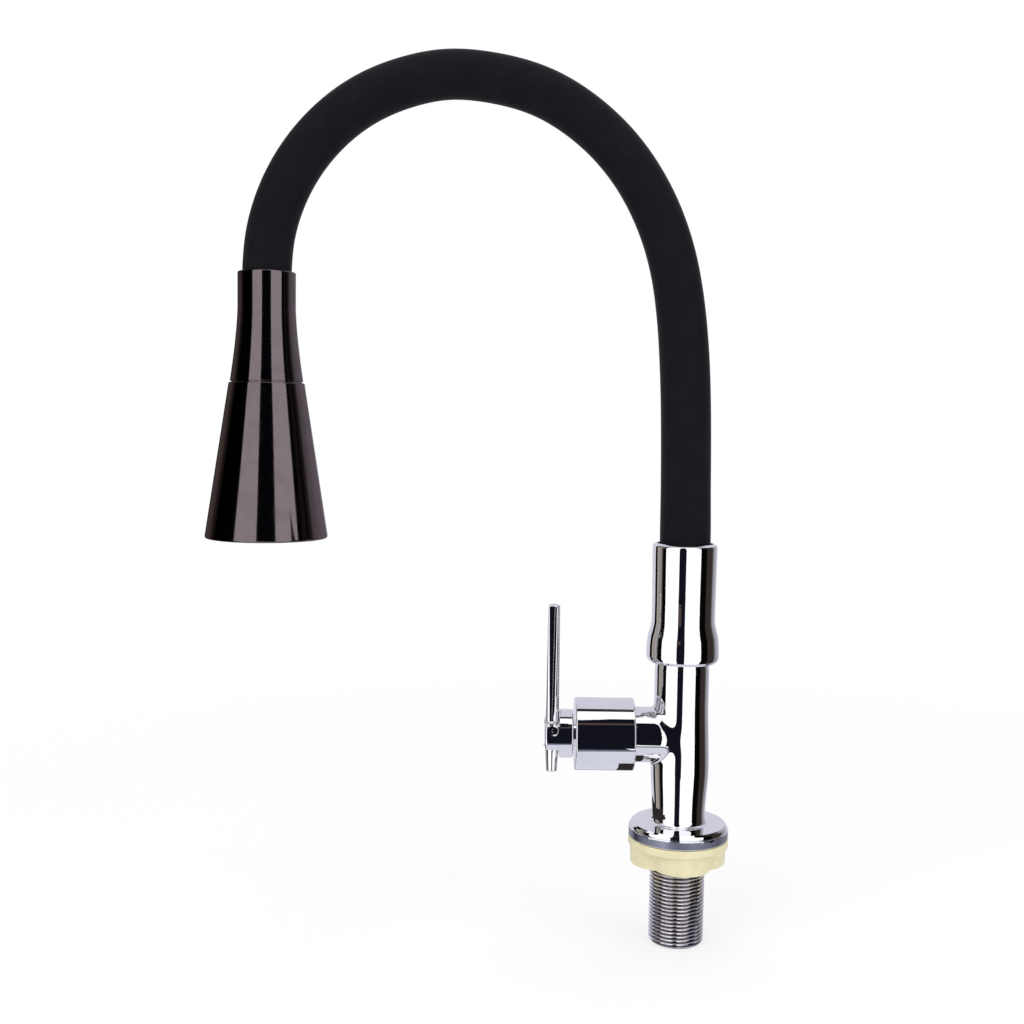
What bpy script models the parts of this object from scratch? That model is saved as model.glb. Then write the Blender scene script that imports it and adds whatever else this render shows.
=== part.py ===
"""Kitchen tap with a flexible gooseneck spout, modelled in metres with +Z up.

The origin is the centre of the flange's underside, where the tap sits on the sink. The spout and
the valve branch point along -X, and the rest pose is the one in the photograph.
"""

import math

import bmesh
import bpy
from mathutils import Matrix, Vector

MM = 0.001

# Clearances between pieces, and how far a cutter runs past a face
SEAT_GAP = 0.3 * MM
RUN_GAP = 0.35 * MM
OVERRUN = 2.0 * MM

# Facets round a turned piece
SHOWN_STEPS = 28
BRANCH_STEPS = 24
HIDDEN_STEPS = 16
RING_STEPS = 12
DRILL_STEPS = 12

# Where an O-ring's section ends, in degrees, and the angle from which an edge is sharp
RING_END = -198
SHARP_ANGLE = math.radians(32)

# Column, flange and valve branch of the casting
COLUMN_RADIUS = 12.7 * MM
COLUMN_HEIGHT = 104.0 * MM
COLUMN_CHAMFER = 0.6 * MM
# How far the cast round swells outward below the collar, fullest under the branch
COLUMN_SWELL = 1.15 * MM
COLUMN_WAIST_SWELL = 0.25 * MM
COLUMN_SWELL_START = 12.0 * MM
COLUMN_SWELL_RISE = 23.0 * MM
COLUMN_SWELL_HEIGHT = 33.0 * MM
COLUMN_WAIST_HEIGHT = 66.0 * MM
COLUMN_WAIST_END = 81.0 * MM
COLUMN_SWELL_END = 83.5 * MM
COLUMN_RISE_SHARE = 0.5
FLANGE_RADIUS = 23.9 * MM
FLANGE_BAND_HEIGHT = 4.2 * MM
FLANGE_RIM_HEIGHT = 5.7 * MM
FLANGE_RIM_STEP = 0.7 * MM
FLANGE_EDGE = 0.7 * MM
FLANGE_EDGE_START = 82
FLANGE_RISE = 1.6 * MM
FLANGE_FILLET = 2.6 * MM
FLANGE_FILLET_END = 265
VALVE_HEIGHT = 49.0 * MM
BRANCH_RADIUS = 13.1 * MM
BRANCH_REACH = 23.1 * MM
BRANCH_ROOT_DRAFT = 0.4 * MM
BRANCH_ROOT_SHARE = 0.6
BRANCH_FILLET = 3.0 * MM
SOCKET_WALL = 2.3 * MM
SOCKET_LENGTH = 19.0 * MM
SEAT_THICKNESS = 2.0 * MM

# Waterways drilled in the casting
HOSE_PORT_RADIUS = 4.0 * MM
HOSE_PORT_OFFSET = 4.52 * MM
PORT_FACE_RADIUS = 8.7 * MM
PORT_FACE_RECESS = 1.0 * MM
HOSE_PORT_STEPS = 24
HOSE_PORT_DEPTH = 11.0 * MM
RISER_RADIUS = 2.4 * MM
INLET_RADIUS = 2.0 * MM
INLET_DROP = 4.5 * MM
OUTLET_RISE = 5.5 * MM
OUTLET_RADIUS = 2.9 * MM
OUTLET_RISER_RADIUS = 3.2 * MM

# Threaded shank, G 3/4
THREAD_RADIUS = 13.22 * MM
THREAD_PITCH = 1.814 * MM
THREAD_DEPTH = 1.162 * MM
THREAD_STEPS = 16
SHANK_LENGTH = 51.4 * MM
SHANK_END_CHAMFER = 0.9 * MM
SHANK_BORE_RADIUS = 8.9 * MM
SHANK_SPIGOT_RADIUS = 10.3 * MM
SHANK_SPIGOT_LENGTH = 14.5 * MM

# Deck seal in its groove under the flange
SEAL_GROOVE_INNER = 17.5 * MM
SEAL_GROOVE_WIDTH = 3.6 * MM
SEAL_GROOVE_DEPTH = 1.8 * MM

# Lock nut
NUT_RIM_RADIUS = 23.9 * MM
NUT_RIM_HEIGHT = 4.5 * MM
NUT_EDGE = 0.5 * MM
NUT_HEIGHT = 12.9 * MM
NUT_CORNER_RADIUS = 23.0 * MM
NUT_HOLLOW_RADIUS = 18.5 * MM
NUT_LOBES = 4
NUT_LOBE_STEPS = 12
NUT_TURN = math.radians(4.0)

# Valve cartridge, measured along the branch from its seat
PORT_SEAL_THICKNESS = 1.2 * MM
CARTRIDGE_RADIUS = 12.6 * MM
CARTRIDGE_BODY_LENGTH = 10.2 * MM
CARTRIDGE_NECK_RADIUS = 9.2 * MM
CARTRIDGE_NECK_LENGTH = 9.0 * MM
CARTRIDGE_ROOF = 1.8 * MM
DISC_RADIUS = 10.1 * MM
FIXED_DISC_THICKNESS = 3.0 * MM
MOVING_DISC_THICKNESS = 2.6 * MM
MOVING_DISC_SLOT = 3.4 * MM
CARRIER_THICKNESS = 1.4 * MM
STEM_RADIUS = 4.9 * MM
STEM_LENGTH = 31.0 * MM
STEM_GROOVE_PLACE = 4.0 * MM
GLAND_WIDTH = 2.6 * MM
GLAND_DEPTH = 1.7 * MM
NUT_RING_LENGTH = 5.0 * MM

# Cover over the cartridge
COVER_WALL = 1.75 * MM
COVER_START = 22.8 * MM
COVER_LENGTH = 28.1 * MM
COVER_END_WALL = 1.9 * MM
COVER_EDGE = 0.6 * MM
COVER_HOLE_RADIUS = 6.4 * MM

# Lever handle
HANDLE_GAP = 1.0 * MM
HUB_RADIUS = 11.45 * MM
HUB_LENGTH = 13.3 * MM
HUB_STEP_PLACE = 6.4 * MM
HUB_FLAT_HEIGHT = 6.0 * MM
HUB_EDGE = 0.5 * MM
HUB_BORE_DEPTH = 6.3 * MM
ROD_INSET = 3.6 * MM
ROD_RADIUS = 3.2 * MM
ROD_TOP_RADIUS = 2.85 * MM
ROD_BOTTOM_RADIUS = 2.6 * MM
ROD_UP = 62.6 * MM
ROD_DOWN = 18.5 * MM
ROD_EDGE = 0.6 * MM
ROD_STEPS = 18
HANDLE_SCREW_RADIUS = 1.8 * MM
HANDLE_SCREW_PLACE = 3.2 * MM
HANDLE_SCREW_LENGTH = 5.0 * MM

# Spout spigot that turns in the column
SPIGOT_RADIUS = 8.0 * MM
SPIGOT_LENGTH = 42.0 * MM
SPIGOT_BORE_RADIUS = 2.75 * MM
SPIGOT_SHOULDER = 3.0 * MM
SPIGOT_GROOVE_PLACE = 27.6 * MM
SPIGOT_GROOVE_WIDTH = 4.6 * MM
SPIGOT_GROOVE_DEPTH = 1.6 * MM
LOWER_GLAND_PLACE = 6.0 * MM
UPPER_GLAND_PLACE = 14.0 * MM
SLIP_RING_HEIGHT = 3.7 * MM
SPIGOT_SCREW_RADIUS = 1.9 * MM
SPIGOT_SCREW_LENGTH = 4.0 * MM

# Swivel collar
COLLAR_OVERLAP = 19.1 * MM
COLLAR_RISE = 37.5 * MM
COLLAR_WALL = 3.0 * MM
COLLAR_TAPER = 0.6 * MM
COLLAR_FLARE = 2.3 * MM
COLLAR_FLARE_TOP = 18.8 * MM
COLLAR_FLARE_FULL = 10.0 * MM
COLLAR_FLARE_SHARES = ((0.16, 0.22), (0.62, 0.5), (0.90, 1.0))
COLLAR_TOP_EDGE = 1.7 * MM
COLLAR_LIP_EDGE = 1.3 * MM
COLLAR_MOUTH_DEPTH = 6.1 * MM
COLLAR_BEARING_WALL = 2.1 * MM

# Hose: sleeve, gooseneck conduit and water tube, one inside the other
HOSE_RADIUS = 12.0 * MM
SLEEVE_WALL = 3.0 * MM
CONDUIT_WALL = 2.0 * MM
TUBE_WALL = 1.85 * MM
LAYER_GAP = 0.4 * MM
REACH = 198.8 * MM
ARCH_RISE = 216.5 * MM
HEAD_DROP = 91.0 * MM
APEX_SHARE = 0.546
# Centre line from the collar's top to the apex: shares of the way across and of the rise
RISING_SHARES = (
    (0.008, 0.229), (0.018, 0.362), (0.040, 0.492), (0.085, 0.617), (0.174, 0.733),
    (0.308, 0.835), (0.487, 0.917), (0.702, 0.974), (1.0, 1.0),
)
# Centre line from the apex to the head's top: shares of the way across and of the fall
FALLING_SHARES = (
    (0.210, 0.025), (0.476, 0.121), (0.703, 0.292), (0.875, 0.519), (0.978, 0.782), (1.0, 1.0),
)
HOSE_RINGS = 26
ROUTE_STEPS = 12
SLEEVE_SIDE_STEPS = 5
INNER_SIDE_STEPS = 3

# Ferrules crimped on the hose's ends, and the nipples inside them
FERRULE_LENGTH = 14.0 * MM
FERRULE_SOCKET_DEPTH = 7.3 * MM
NOSE_RADIUS = 7.6 * MM
NIPPLE_LENGTH = 14.0 * MM
NIPPLE_EASE = 0.5 * MM

# Spray head outline
UPPER_SHELL_LENGTH = 52.4 * MM
BELL_LENGTH = 73.4 * MM
SEAM_GAP = 0.6 * MM
HEAD_NECK_WALL = 1.15 * MM
HEAD_NECK_LENGTH = 23.0 * MM
HEAD_NECK_EDGE = 0.7 * MM
UPPER_SHELL_SEAM_RADIUS = 17.0 * MM
UPPER_SHELL_STEPS = 5
UPPER_SHELL_POWER = 1.35
SHELL_EDGE = 0.4 * MM
SHELL_WALL = 2.2 * MM
BELL_TOP_RADIUS = 17.65 * MM
BELL_RADIUS = 28.9 * MM
BELL_NECK_HEIGHT = 6.2 * MM
BELL_EDGE = 0.8 * MM

# Head core, nipple and their rings
CORE_RADIUS = 12.0 * MM
CORE_RISE = 21.5 * MM
CORE_CUP_RADIUS = 10.9 * MM
CORE_CUP_DEPTH = 6.9 * MM
JOURNAL_RADIUS = 6.9 * MM
JOURNAL_LENGTH = 13.2 * MM
JOURNAL_GLAND_PLACE = 6.0 * MM
NIPPLE_FLANGE_HEIGHT = 3.0 * MM
RETAINER_HEIGHT = 3.0 * MM
CORE_THREAD_RADIUS = 9.5 * MM
CORE_THREAD_LENGTH = 8.0 * MM
CORE_STEM_RADIUS = 7.0 * MM
CORE_BORE_RADIUS = 3.6 * MM
CORE_GLAND_PLACE = 3.2 * MM
BELL_RETAINER_RADIUS = 14.4 * MM
BELL_RETAINER_HEIGHT = 5.0 * MM
WASHER_HEIGHT = 1.2 * MM
WASHER_INNER = 13.2 * MM
WASHER_WIDTH = 2.0 * MM

# Spray plate stack, measured up from the head's bottom
FACE_RECESS = 1.4 * MM
FACE_THICKNESS = 5.0 * MM
MAT_THICKNESS = 2.2 * MM
MAT_MARGIN = 3.1 * MM
CARRIER_PLATE_THICKNESS = 3.0 * MM
CARRIER_CUP_WALL = 2.6 * MM
CARRIER_CUP_DEPTH = 10.4 * MM
DIVERTER_THICKNESS = 3.0 * MM
DIVERTER_HOLE_RADIUS = 1.3 * MM
DIVERTER_HOLE_PLACE = 4.0 * MM
DIVERTER_HOLE_COUNT = 2
PASSAGE_COUNT = 6
PASSAGE_RADIUS = 1.5 * MM
PASSAGE_PLACE = 14.0 * MM
NOZZLE_ROW_RADII = (15.6 * MM, 20.6 * MM)
NOZZLE_ROW_COUNTS = (8, 14)
NOZZLE_RADIUS = 1.0 * MM
NOZZLE_PROUD = 0.6 * MM
NOZZLE_STEPS = 6
AERATOR_RADIUS = 10.3 * MM
AERATOR_WALL = 1.7 * MM
AERATOR_LIP = 1.2 * MM
AERATOR_INSERT_HEIGHT = 4.0 * MM

# Sizes that follow from the ones above
COLLAR_BOTTOM = COLUMN_HEIGHT - COLLAR_OVERLAP
COLLAR_TOP = COLUMN_HEIGHT + COLLAR_RISE
ARCH_TOP = COLLAR_TOP + ARCH_RISE
HEAD_TOP = ARCH_TOP - HEAD_DROP
SEAM_HEIGHT = HEAD_TOP - UPPER_SHELL_LENGTH
HEAD_BOTTOM = SEAM_HEIGHT - BELL_LENGTH
SEAT_PLACE = BRANCH_REACH + SEAT_THICKNESS
SOCKET_BORE = CARTRIDGE_RADIUS + SEAT_GAP
SOCKET_RADIUS = SOCKET_BORE + SOCKET_WALL
SOCKET_END = BRANCH_REACH + SOCKET_LENGTH
SPIGOT_BORE = SPIGOT_RADIUS + RUN_GAP
SPIGOT_BOTTOM = COLUMN_HEIGHT + SLIP_RING_HEIGHT + 2 * SEAT_GAP - SPIGOT_LENGTH
SPIGOT_TOP = SPIGOT_BOTTOM + SPIGOT_LENGTH
SHOULDER_TOP = SPIGOT_TOP + SPIGOT_SHOULDER
SLEEVE_BORE = HOSE_RADIUS - SLEEVE_WALL
CONDUIT_RADIUS = SLEEVE_BORE - LAYER_GAP
CONDUIT_BORE = CONDUIT_RADIUS - CONDUIT_WALL
TUBE_RADIUS = CONDUIT_BORE - LAYER_GAP
TUBE_BORE = TUBE_RADIUS - TUBE_WALL
NIPPLE_RADIUS = TUBE_BORE - NIPPLE_EASE
HOSE_MOUTH = HOSE_RADIUS + SEAT_GAP
FERRULE_RADIUS = HOSE_RADIUS
FERRULE_BOTTOM = SHOULDER_TOP + SEAT_GAP
FERRULE_TOP = FERRULE_BOTTOM + FERRULE_LENGTH
SLEEVE_START = FERRULE_TOP + SEAT_GAP
CONDUIT_START = FERRULE_TOP - FERRULE_SOCKET_DEPTH + SEAT_GAP
NOSE_LENGTH = FERRULE_LENGTH - FERRULE_SOCKET_DEPTH
CORE_TOP = SEAM_HEIGHT + CORE_RISE
CUP_FLOOR = CORE_TOP - CORE_CUP_DEPTH
NIPPLE_FLANGE_TOP = CUP_FLOOR + SEAT_GAP + NIPPLE_FLANGE_HEIGHT
RETAINER_TOP = NIPPLE_FLANGE_TOP + RUN_GAP + RETAINER_HEIGHT
UPPER_FERRULE_BOTTOM = CORE_TOP + SPIGOT_GROOVE_DEPTH
UPPER_FERRULE_TOP = UPPER_FERRULE_BOTTOM + FERRULE_LENGTH
SLEEVE_END = UPPER_FERRULE_TOP + SEAT_GAP
CONDUIT_END = UPPER_FERRULE_TOP - FERRULE_SOCKET_DEPTH + SEAT_GAP
UPPER_SHELL_BOTTOM = SEAM_HEIGHT + SEAM_GAP / 2
BELL_TOP = SEAM_HEIGHT - SEAM_GAP / 2
BELL_NECK_BOTTOM = BELL_TOP - BELL_NECK_HEIGHT
FACE_BOTTOM = HEAD_BOTTOM + FACE_RECESS
FACE_TOP = FACE_BOTTOM + FACE_THICKNESS
MAT_BOTTOM = FACE_TOP + SEAT_GAP
MAT_TOP = MAT_BOTTOM + MAT_THICKNESS
CARRIER_BOTTOM = MAT_TOP + SEAT_GAP
CARRIER_TOP = CARRIER_BOTTOM + CARRIER_PLATE_THICKNESS
DIVERTER_BOTTOM = CARRIER_TOP + RUN_GAP
DIVERTER_TOP = DIVERTER_BOTTOM + DIVERTER_THICKNESS
CORE_BOTTOM = DIVERTER_TOP + SEAT_GAP
BELL_SLOPE = (BELL_RADIUS - BELL_TOP_RADIUS) / (BELL_TOP - HEAD_BOTTOM)
FACE_SEAT_RADIUS = BELL_RADIUS - SHELL_WALL
FACE_SEAT_TOP = FACE_TOP + SEAT_GAP


def clear_scene():
    for obj in list(bpy.data.objects):
        bpy.data.objects.remove(obj, do_unlink=True)


def new_collection(name):
    collection = bpy.data.collections.new(name)
    bpy.context.scene.collection.children.link(collection)
    return collection


def make_material(name, colour, metallic, roughness):
    material = bpy.data.materials.new(name)
    material.use_nodes = True
    shader = material.node_tree.nodes["Principled BSDF"]
    shader.inputs["Base Color"].default_value = (*colour, 1.0)
    shader.inputs["Metallic"].default_value = metallic
    shader.inputs["Roughness"].default_value = roughness
    return material


clear_scene()
TAP = new_collection("flexible_kitchen_tap")
CUTTERS = new_collection("cutters")

CHROME = make_material("chrome", (0.80, 0.80, 0.82), 1.0, 0.05)
GUNMETAL = make_material("gunmetal", (0.05, 0.05, 0.055), 1.0, 0.12)
SILICONE = make_material("black_silicone", (0.013, 0.013, 0.018), 0.0, 0.55)
CREAM_PLASTIC = make_material("cream_plastic", (0.80, 0.74, 0.46), 0.0, 0.4)
BRASS = make_material("brass", (0.60, 0.44, 0.18), 1.0, 0.3)
STEEL = make_material("stainless_steel", (0.55, 0.55, 0.56), 1.0, 0.3)
CERAMIC = make_material("ceramic", (0.85, 0.85, 0.82), 0.0, 0.25)
BLACK_RUBBER = make_material("black_rubber", (0.02, 0.02, 0.02), 0.0, 0.7)
WHITE_PLASTIC = make_material("white_plastic", (0.80, 0.80, 0.78), 0.0, 0.45)
DARK_PLASTIC = make_material("dark_plastic", (0.04, 0.04, 0.045), 0.0, 0.45)


def pivot(name, place, parent=None):
    """An empty on a joint's axis, which the pieces that move about it hang from."""
    empty = bpy.data.objects.new(name, None)
    TAP.objects.link(empty)
    empty.parent = parent
    empty.location = place
    return empty


def add_object(name, mesh, collection=TAP, material=None, parent=None):
    obj = bpy.data.objects.new(name, mesh)
    collection.objects.link(obj)
    if material is not None:
        mesh.materials.append(material)
    if collection is CUTTERS:
        obj.hide_render = True
        obj.display_type = "WIRE"
    obj.parent = parent
    return obj


def turned(name, profile, material=None, parent=None, steps=HIDDEN_STEPS, collection=TAP):
    """A turned piece. The profile's (radius, height) points run down the outside from the top and,
    for a piece with a bore, back up the inside."""
    mesh = bpy.data.meshes.new(name)
    points = [(radius, 0.0, height) for radius, height in profile]
    edges = [(i, i + 1) for i in range(len(points) - 1)]
    on_axis = profile[0][0] == 0 and profile[-1][0] == 0
    if not on_axis:
        edges.append((len(points) - 1, 0))
    mesh.from_pydata(points, edges, [])
    obj = add_object(name, mesh, collection, material, parent)
    screw = obj.modifiers.new("turn", "SCREW")
    screw.steps = steps
    screw.render_steps = steps
    screw.use_merge_vertices = True
    screw.merge_threshold = 0.00001
    return obj


def ring_profile(outer, inner, bottom, top):
    return [(outer, top), (outer, bottom), (inner, bottom), (inner, top)]


def arc(centre, radius, start, end, count):
    """Points of a round edge, from one angle to another, in degrees."""
    angles = [math.radians(start + (end - start) * i / count) for i in range(count + 1)]
    return [
        (centre[0] + radius * math.cos(angle), centre[1] + radius * math.sin(angle))
        for angle in angles
    ]


def lay_along_branch(obj):
    """Turns a piece made about +Z so that its height runs out along the branch, towards -X."""
    obj.rotation_euler = (0.0, -math.pi / 2, 0.0)
    return obj


def drill(name, radius, start, end, steps=DRILL_STEPS):
    """A round cutter from one point to another."""
    start, end = Vector(start), Vector(end)
    mesh = bpy.data.meshes.new(name)
    shape = bmesh.new()
    bmesh.ops.create_cone(
        shape, cap_ends=True, segments=steps, radius1=radius, radius2=radius, depth=(end - start).length
    )
    half_step = Matrix.Rotation(math.pi / steps, 3, "Z")
    bmesh.ops.rotate(shape, verts=shape.verts, matrix=half_step)
    shape.to_mesh(mesh)
    shape.free()
    cutter = add_object(name, mesh, CUTTERS)
    cutter.location = (start + end) / 2
    cutter.rotation_euler = (end - start).to_track_quat("Z", "Y").to_euler()
    return cutter


def drill_pattern(name, row_radii, row_counts, radius, bottom, top):
    """One cutter of parallel upright pins, in rows round the axis."""
    mesh = bpy.data.meshes.new(name)
    shape = bmesh.new()
    for distance, count in zip(row_radii, row_counts):
        for index in range(count):
            angle = 2 * math.pi * index / count
            pin = bmesh.ops.create_cone(
                shape,
                cap_ends=True,
                segments=NOZZLE_STEPS,
                radius1=radius,
                radius2=radius,
                depth=top - bottom,
            )
            move = Vector((distance * math.cos(angle), distance * math.sin(angle), (bottom + top) / 2))
            bmesh.ops.translate(shape, verts=pin["verts"], vec=move)
    shape.to_mesh(mesh)
    shape.free()
    return add_object(name, mesh, CUTTERS)


def combine(obj, other, operation):
    modifier = obj.modifiers.new(other.name, "BOOLEAN")
    modifier.operation = operation
    modifier.object = other
    return obj


def cut(obj, *cutters):
    for cutter in cutters:
        combine(obj, cutter, "DIFFERENCE")
    return obj


def join(obj, *others):
    for other in others:
        combine(obj, other, "UNION")
    return obj


def settle(obj):
    """Keeps the shape that the modifiers make as the object's own mesh."""
    bpy.context.view_layer.update()
    evaluated = obj.evaluated_get(bpy.context.evaluated_depsgraph_get())
    mesh = bpy.data.meshes.new_from_object(evaluated)
    mesh.name = obj.name
    obj.modifiers.clear()
    obj.data = mesh
    return obj


# Pivots, from the sink up to the spray head
spout_axis = pivot("spout_axis", (0.0, 0.0, COLUMN_HEIGHT))
lever_axis = pivot("lever_axis", (0.0, 0.0, VALVE_HEIGHT))
head_axis = pivot("head_axis", (-REACH, 0.0, 0.0))


def make_body_casting():
    """Column, flange and valve branch in one brass casting, with its waterways."""
    rim_radius = FLANGE_RADIUS - FLANGE_RIM_STEP
    cone_top = FLANGE_RIM_HEIGHT + FLANGE_RISE
    socket_depth = SHANK_SPIGOT_LENGTH + SEAT_GAP
    port_face = socket_depth + PORT_FACE_RECESS
    root_radius = COLUMN_RADIUS - BRANCH_ROOT_DRAFT
    column = [
        (0.0, COLUMN_HEIGHT),
        (COLUMN_RADIUS - COLUMN_CHAMFER, COLUMN_HEIGHT),
        (COLUMN_RADIUS, COLUMN_HEIGHT - COLUMN_CHAMFER),
        (COLUMN_RADIUS, COLUMN_SWELL_END),
        (COLUMN_RADIUS + COLUMN_WAIST_SWELL, COLUMN_WAIST_END),
        (COLUMN_RADIUS + COLUMN_WAIST_SWELL, COLUMN_WAIST_HEIGHT),
        (COLUMN_RADIUS + COLUMN_SWELL, COLUMN_SWELL_HEIGHT),
        (COLUMN_RADIUS + COLUMN_SWELL * COLUMN_RISE_SHARE, COLUMN_SWELL_RISE),
        (COLUMN_RADIUS, COLUMN_SWELL_START),
    ]
    fillet_centre = (COLUMN_RADIUS + FLANGE_FILLET, cone_top + FLANGE_FILLET)
    column += arc(fillet_centre, FLANGE_FILLET, 180, FLANGE_FILLET_END, 3)
    rim_centre = (rim_radius - FLANGE_EDGE, FLANGE_RIM_HEIGHT - FLANGE_EDGE)
    column += arc(rim_centre, FLANGE_EDGE, FLANGE_EDGE_START, 0, 2)
    column += [
        (rim_radius, FLANGE_BAND_HEIGHT),
        (FLANGE_RADIUS - FLANGE_EDGE / 2, FLANGE_BAND_HEIGHT),
        (FLANGE_RADIUS, FLANGE_BAND_HEIGHT - FLANGE_EDGE / 2),
        (FLANGE_RADIUS, 0.0),
        (0.0, 0.0),
    ]
    casting = turned("body_casting", column, CHROME, steps=SHOWN_STEPS)
    branch = turned(
        "branch_form",
        [
            (0.0, SOCKET_END),
            (SOCKET_RADIUS, SOCKET_END),
            (SOCKET_RADIUS, BRANCH_REACH),
            (BRANCH_RADIUS, BRANCH_REACH),
            (BRANCH_RADIUS, COLUMN_RADIUS + BRANCH_FILLET),
            (root_radius, COLUMN_RADIUS * BRANCH_ROOT_SHARE),
            (root_radius, 0.0),
            (0.0, 0.0),
        ],
        steps=BRANCH_STEPS,
        collection=CUTTERS,
    )
    lay_along_branch(branch).location.z = VALVE_HEIGHT
    socket = turned(
        "socket_bore",
        [
            (0.0, SOCKET_END + OVERRUN),
            (SOCKET_BORE, SOCKET_END + OVERRUN),
            (SOCKET_BORE, SEAT_PLACE),
            (0.0, SEAT_PLACE),
        ],
        steps=HIDDEN_STEPS,
        collection=CUTTERS,
    )
    lay_along_branch(socket).location.z = VALVE_HEIGHT
    shank_socket = turned(
        "shank_socket",
        [
            (0.0, port_face),
            (PORT_FACE_RADIUS, port_face),
            (PORT_FACE_RADIUS, socket_depth),
            (SHANK_SPIGOT_RADIUS + SEAT_GAP, socket_depth),
            (SHANK_SPIGOT_RADIUS + SEAT_GAP, -OVERRUN),
            (0.0, -OVERRUN),
        ],
        steps=HIDDEN_STEPS,
        collection=CUTTERS,
    )
    spigot_bore = turned(
        "spigot_bore",
        [
            (0.0, COLUMN_HEIGHT + OVERRUN),
            (SPIGOT_BORE, COLUMN_HEIGHT + OVERRUN),
            (SPIGOT_BORE, SPIGOT_BOTTOM - SEAT_GAP),
            (0.0, SPIGOT_BOTTOM - SEAT_GAP),
        ],
        steps=HIDDEN_STEPS,
        collection=CUTTERS,
    )
    groove = turned(
        "seal_groove",
        ring_profile(SEAL_GROOVE_INNER + SEAL_GROOVE_WIDTH, SEAL_GROOVE_INNER, -OVERRUN, SEAL_GROOVE_DEPTH),
        steps=HIDDEN_STEPS,
        collection=CUTTERS,
    )
    inlet_height = VALVE_HEIGHT - INLET_DROP
    outlet_height = VALVE_HEIGHT + OUTLET_RISE
    cutters = [socket, shank_socket, spigot_bore, groove]
    for side in (-1, 1):
        across = side * HOSE_PORT_OFFSET
        port_top = port_face + HOSE_PORT_DEPTH
        cutters.append(
            drill(
                f"hose_port_{side}",
                HOSE_PORT_RADIUS,
                (0.0, across, socket_depth - OVERRUN),
                (0.0, across, port_top),
                HOSE_PORT_STEPS,
            )
        )
        cutters.append(
            drill(
                f"riser_{side}",
                RISER_RADIUS,
                (0.0, across, port_top - OVERRUN),
                (0.0, across, inlet_height + RISER_RADIUS),
            )
        )
        cutters.append(
            drill(
                f"inlet_{side}",
                INLET_RADIUS,
                (-SEAT_PLACE - OVERRUN, across, inlet_height),
                (RISER_RADIUS / 4, across, inlet_height),
            )
        )
    cutters.append(
        drill(
            "outlet_drilling",
            OUTLET_RADIUS,
            (-SEAT_PLACE - OVERRUN, 0.0, outlet_height),
            (OUTLET_RISER_RADIUS / 4, 0.0, outlet_height),
        )
    )
    cutters.append(
        drill(
            "outlet_riser",
            OUTLET_RISER_RADIUS,
            (0.0, 0.0, outlet_height - OUTLET_RISER_RADIUS),
            (0.0, 0.0, SPIGOT_BOTTOM + OVERRUN),
        )
    )
    screw_height = SPIGOT_BOTTOM + SPIGOT_GROOVE_PLACE + SPIGOT_GROOVE_WIDTH / 2
    cutters.append(
        drill(
            "spigot_screw_hole",
            SPIGOT_SCREW_RADIUS + SEAT_GAP,
            (0.0, SPIGOT_RADIUS - OVERRUN, screw_height),
            (0.0, COLUMN_RADIUS + OVERRUN, screw_height),
        )
    )
    return settle(cut(join(casting, branch), *cutters))


def ring_of(shape, radius, height, steps):
    angles = [2 * math.pi * i / steps for i in range(steps)]
    return [shape.verts.new((radius * math.cos(a), radius * math.sin(a), height)) for a in angles]


def bridge_rings(shape, upper, lower):
    """Faces between two rings of one count, facing out where upper is above lower."""
    for i in range(len(upper)):
        j = (i + 1) % len(upper)
        shape.faces.new((upper[i], lower[i], lower[j], upper[j]))


def make_threaded_shank():
    """Chromed brass tube with a helical thread, and a plain spigot that is sweated into the column."""
    top = -SEAT_GAP
    bottom = top - SHANK_LENGTH
    root = THREAD_RADIUS - THREAD_DEPTH
    steps = THREAD_STEPS
    lead_in = SHANK_END_CHAMFER / 2
    turns = int((SHANK_LENGTH - 2 * lead_in) / THREAD_PITCH) - 1
    rows = 2 * turns
    shape = bmesh.new()

    def thread_point(row, column):
        turn = column / steps
        radius = THREAD_RADIUS if row % 2 else root
        height = bottom + lead_in + THREAD_PITCH * (row / 2 + turn)
        angle = 2 * math.pi * turn
        return shape.verts.new((radius * math.cos(angle), radius * math.sin(angle), height))

    grid = [
        [thread_point(row, column) for row in range(rows + (3 if column == 0 else 1))]
        for column in range(steps)
    ]

    def vertex(row, column):
        return grid[0][row + 2] if column == steps else grid[column][row]

    for column in range(steps):
        for row in range(rows):
            shape.faces.new(
                (
                    vertex(row, column),
                    vertex(row, column + 1),
                    vertex(row + 1, column + 1),
                    vertex(row + 1, column),
                )
            )
    foot = ring_of(shape, root, bottom, steps)
    head = ring_of(shape, root, top, steps)
    for column in range(steps):
        after = (column + 1) % steps
        shape.faces.new((foot[column], foot[after], vertex(0, column + 1), vertex(0, column)))
        shape.faces.new((vertex(rows, column), vertex(rows, column + 1), head[after], head[column]))
    shape.faces.new((foot[0], grid[0][0], grid[0][1], grid[0][2]))
    shape.faces.new((grid[0][rows], head[0], grid[0][rows + 2], grid[0][rows + 1]))
    inside = [
        (SHANK_SPIGOT_RADIUS, top),
        (SHANK_SPIGOT_RADIUS, SHANK_SPIGOT_LENGTH),
        (SHANK_BORE_RADIUS, SHANK_SPIGOT_LENGTH),
        (SHANK_BORE_RADIUS, bottom),
    ]
    rings = [head] + [ring_of(shape, radius, height, steps) for radius, height in inside] + [foot]
    for lower, upper in zip(rings, rings[1:]):
        bridge_rings(shape, upper, lower)
    bmesh.ops.recalc_face_normals(shape, faces=shape.faces)
    mesh = bpy.data.meshes.new("threaded_shank")
    shape.to_mesh(mesh)
    shape.free()
    return add_object("threaded_shank", mesh, material=CHROME)


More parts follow.
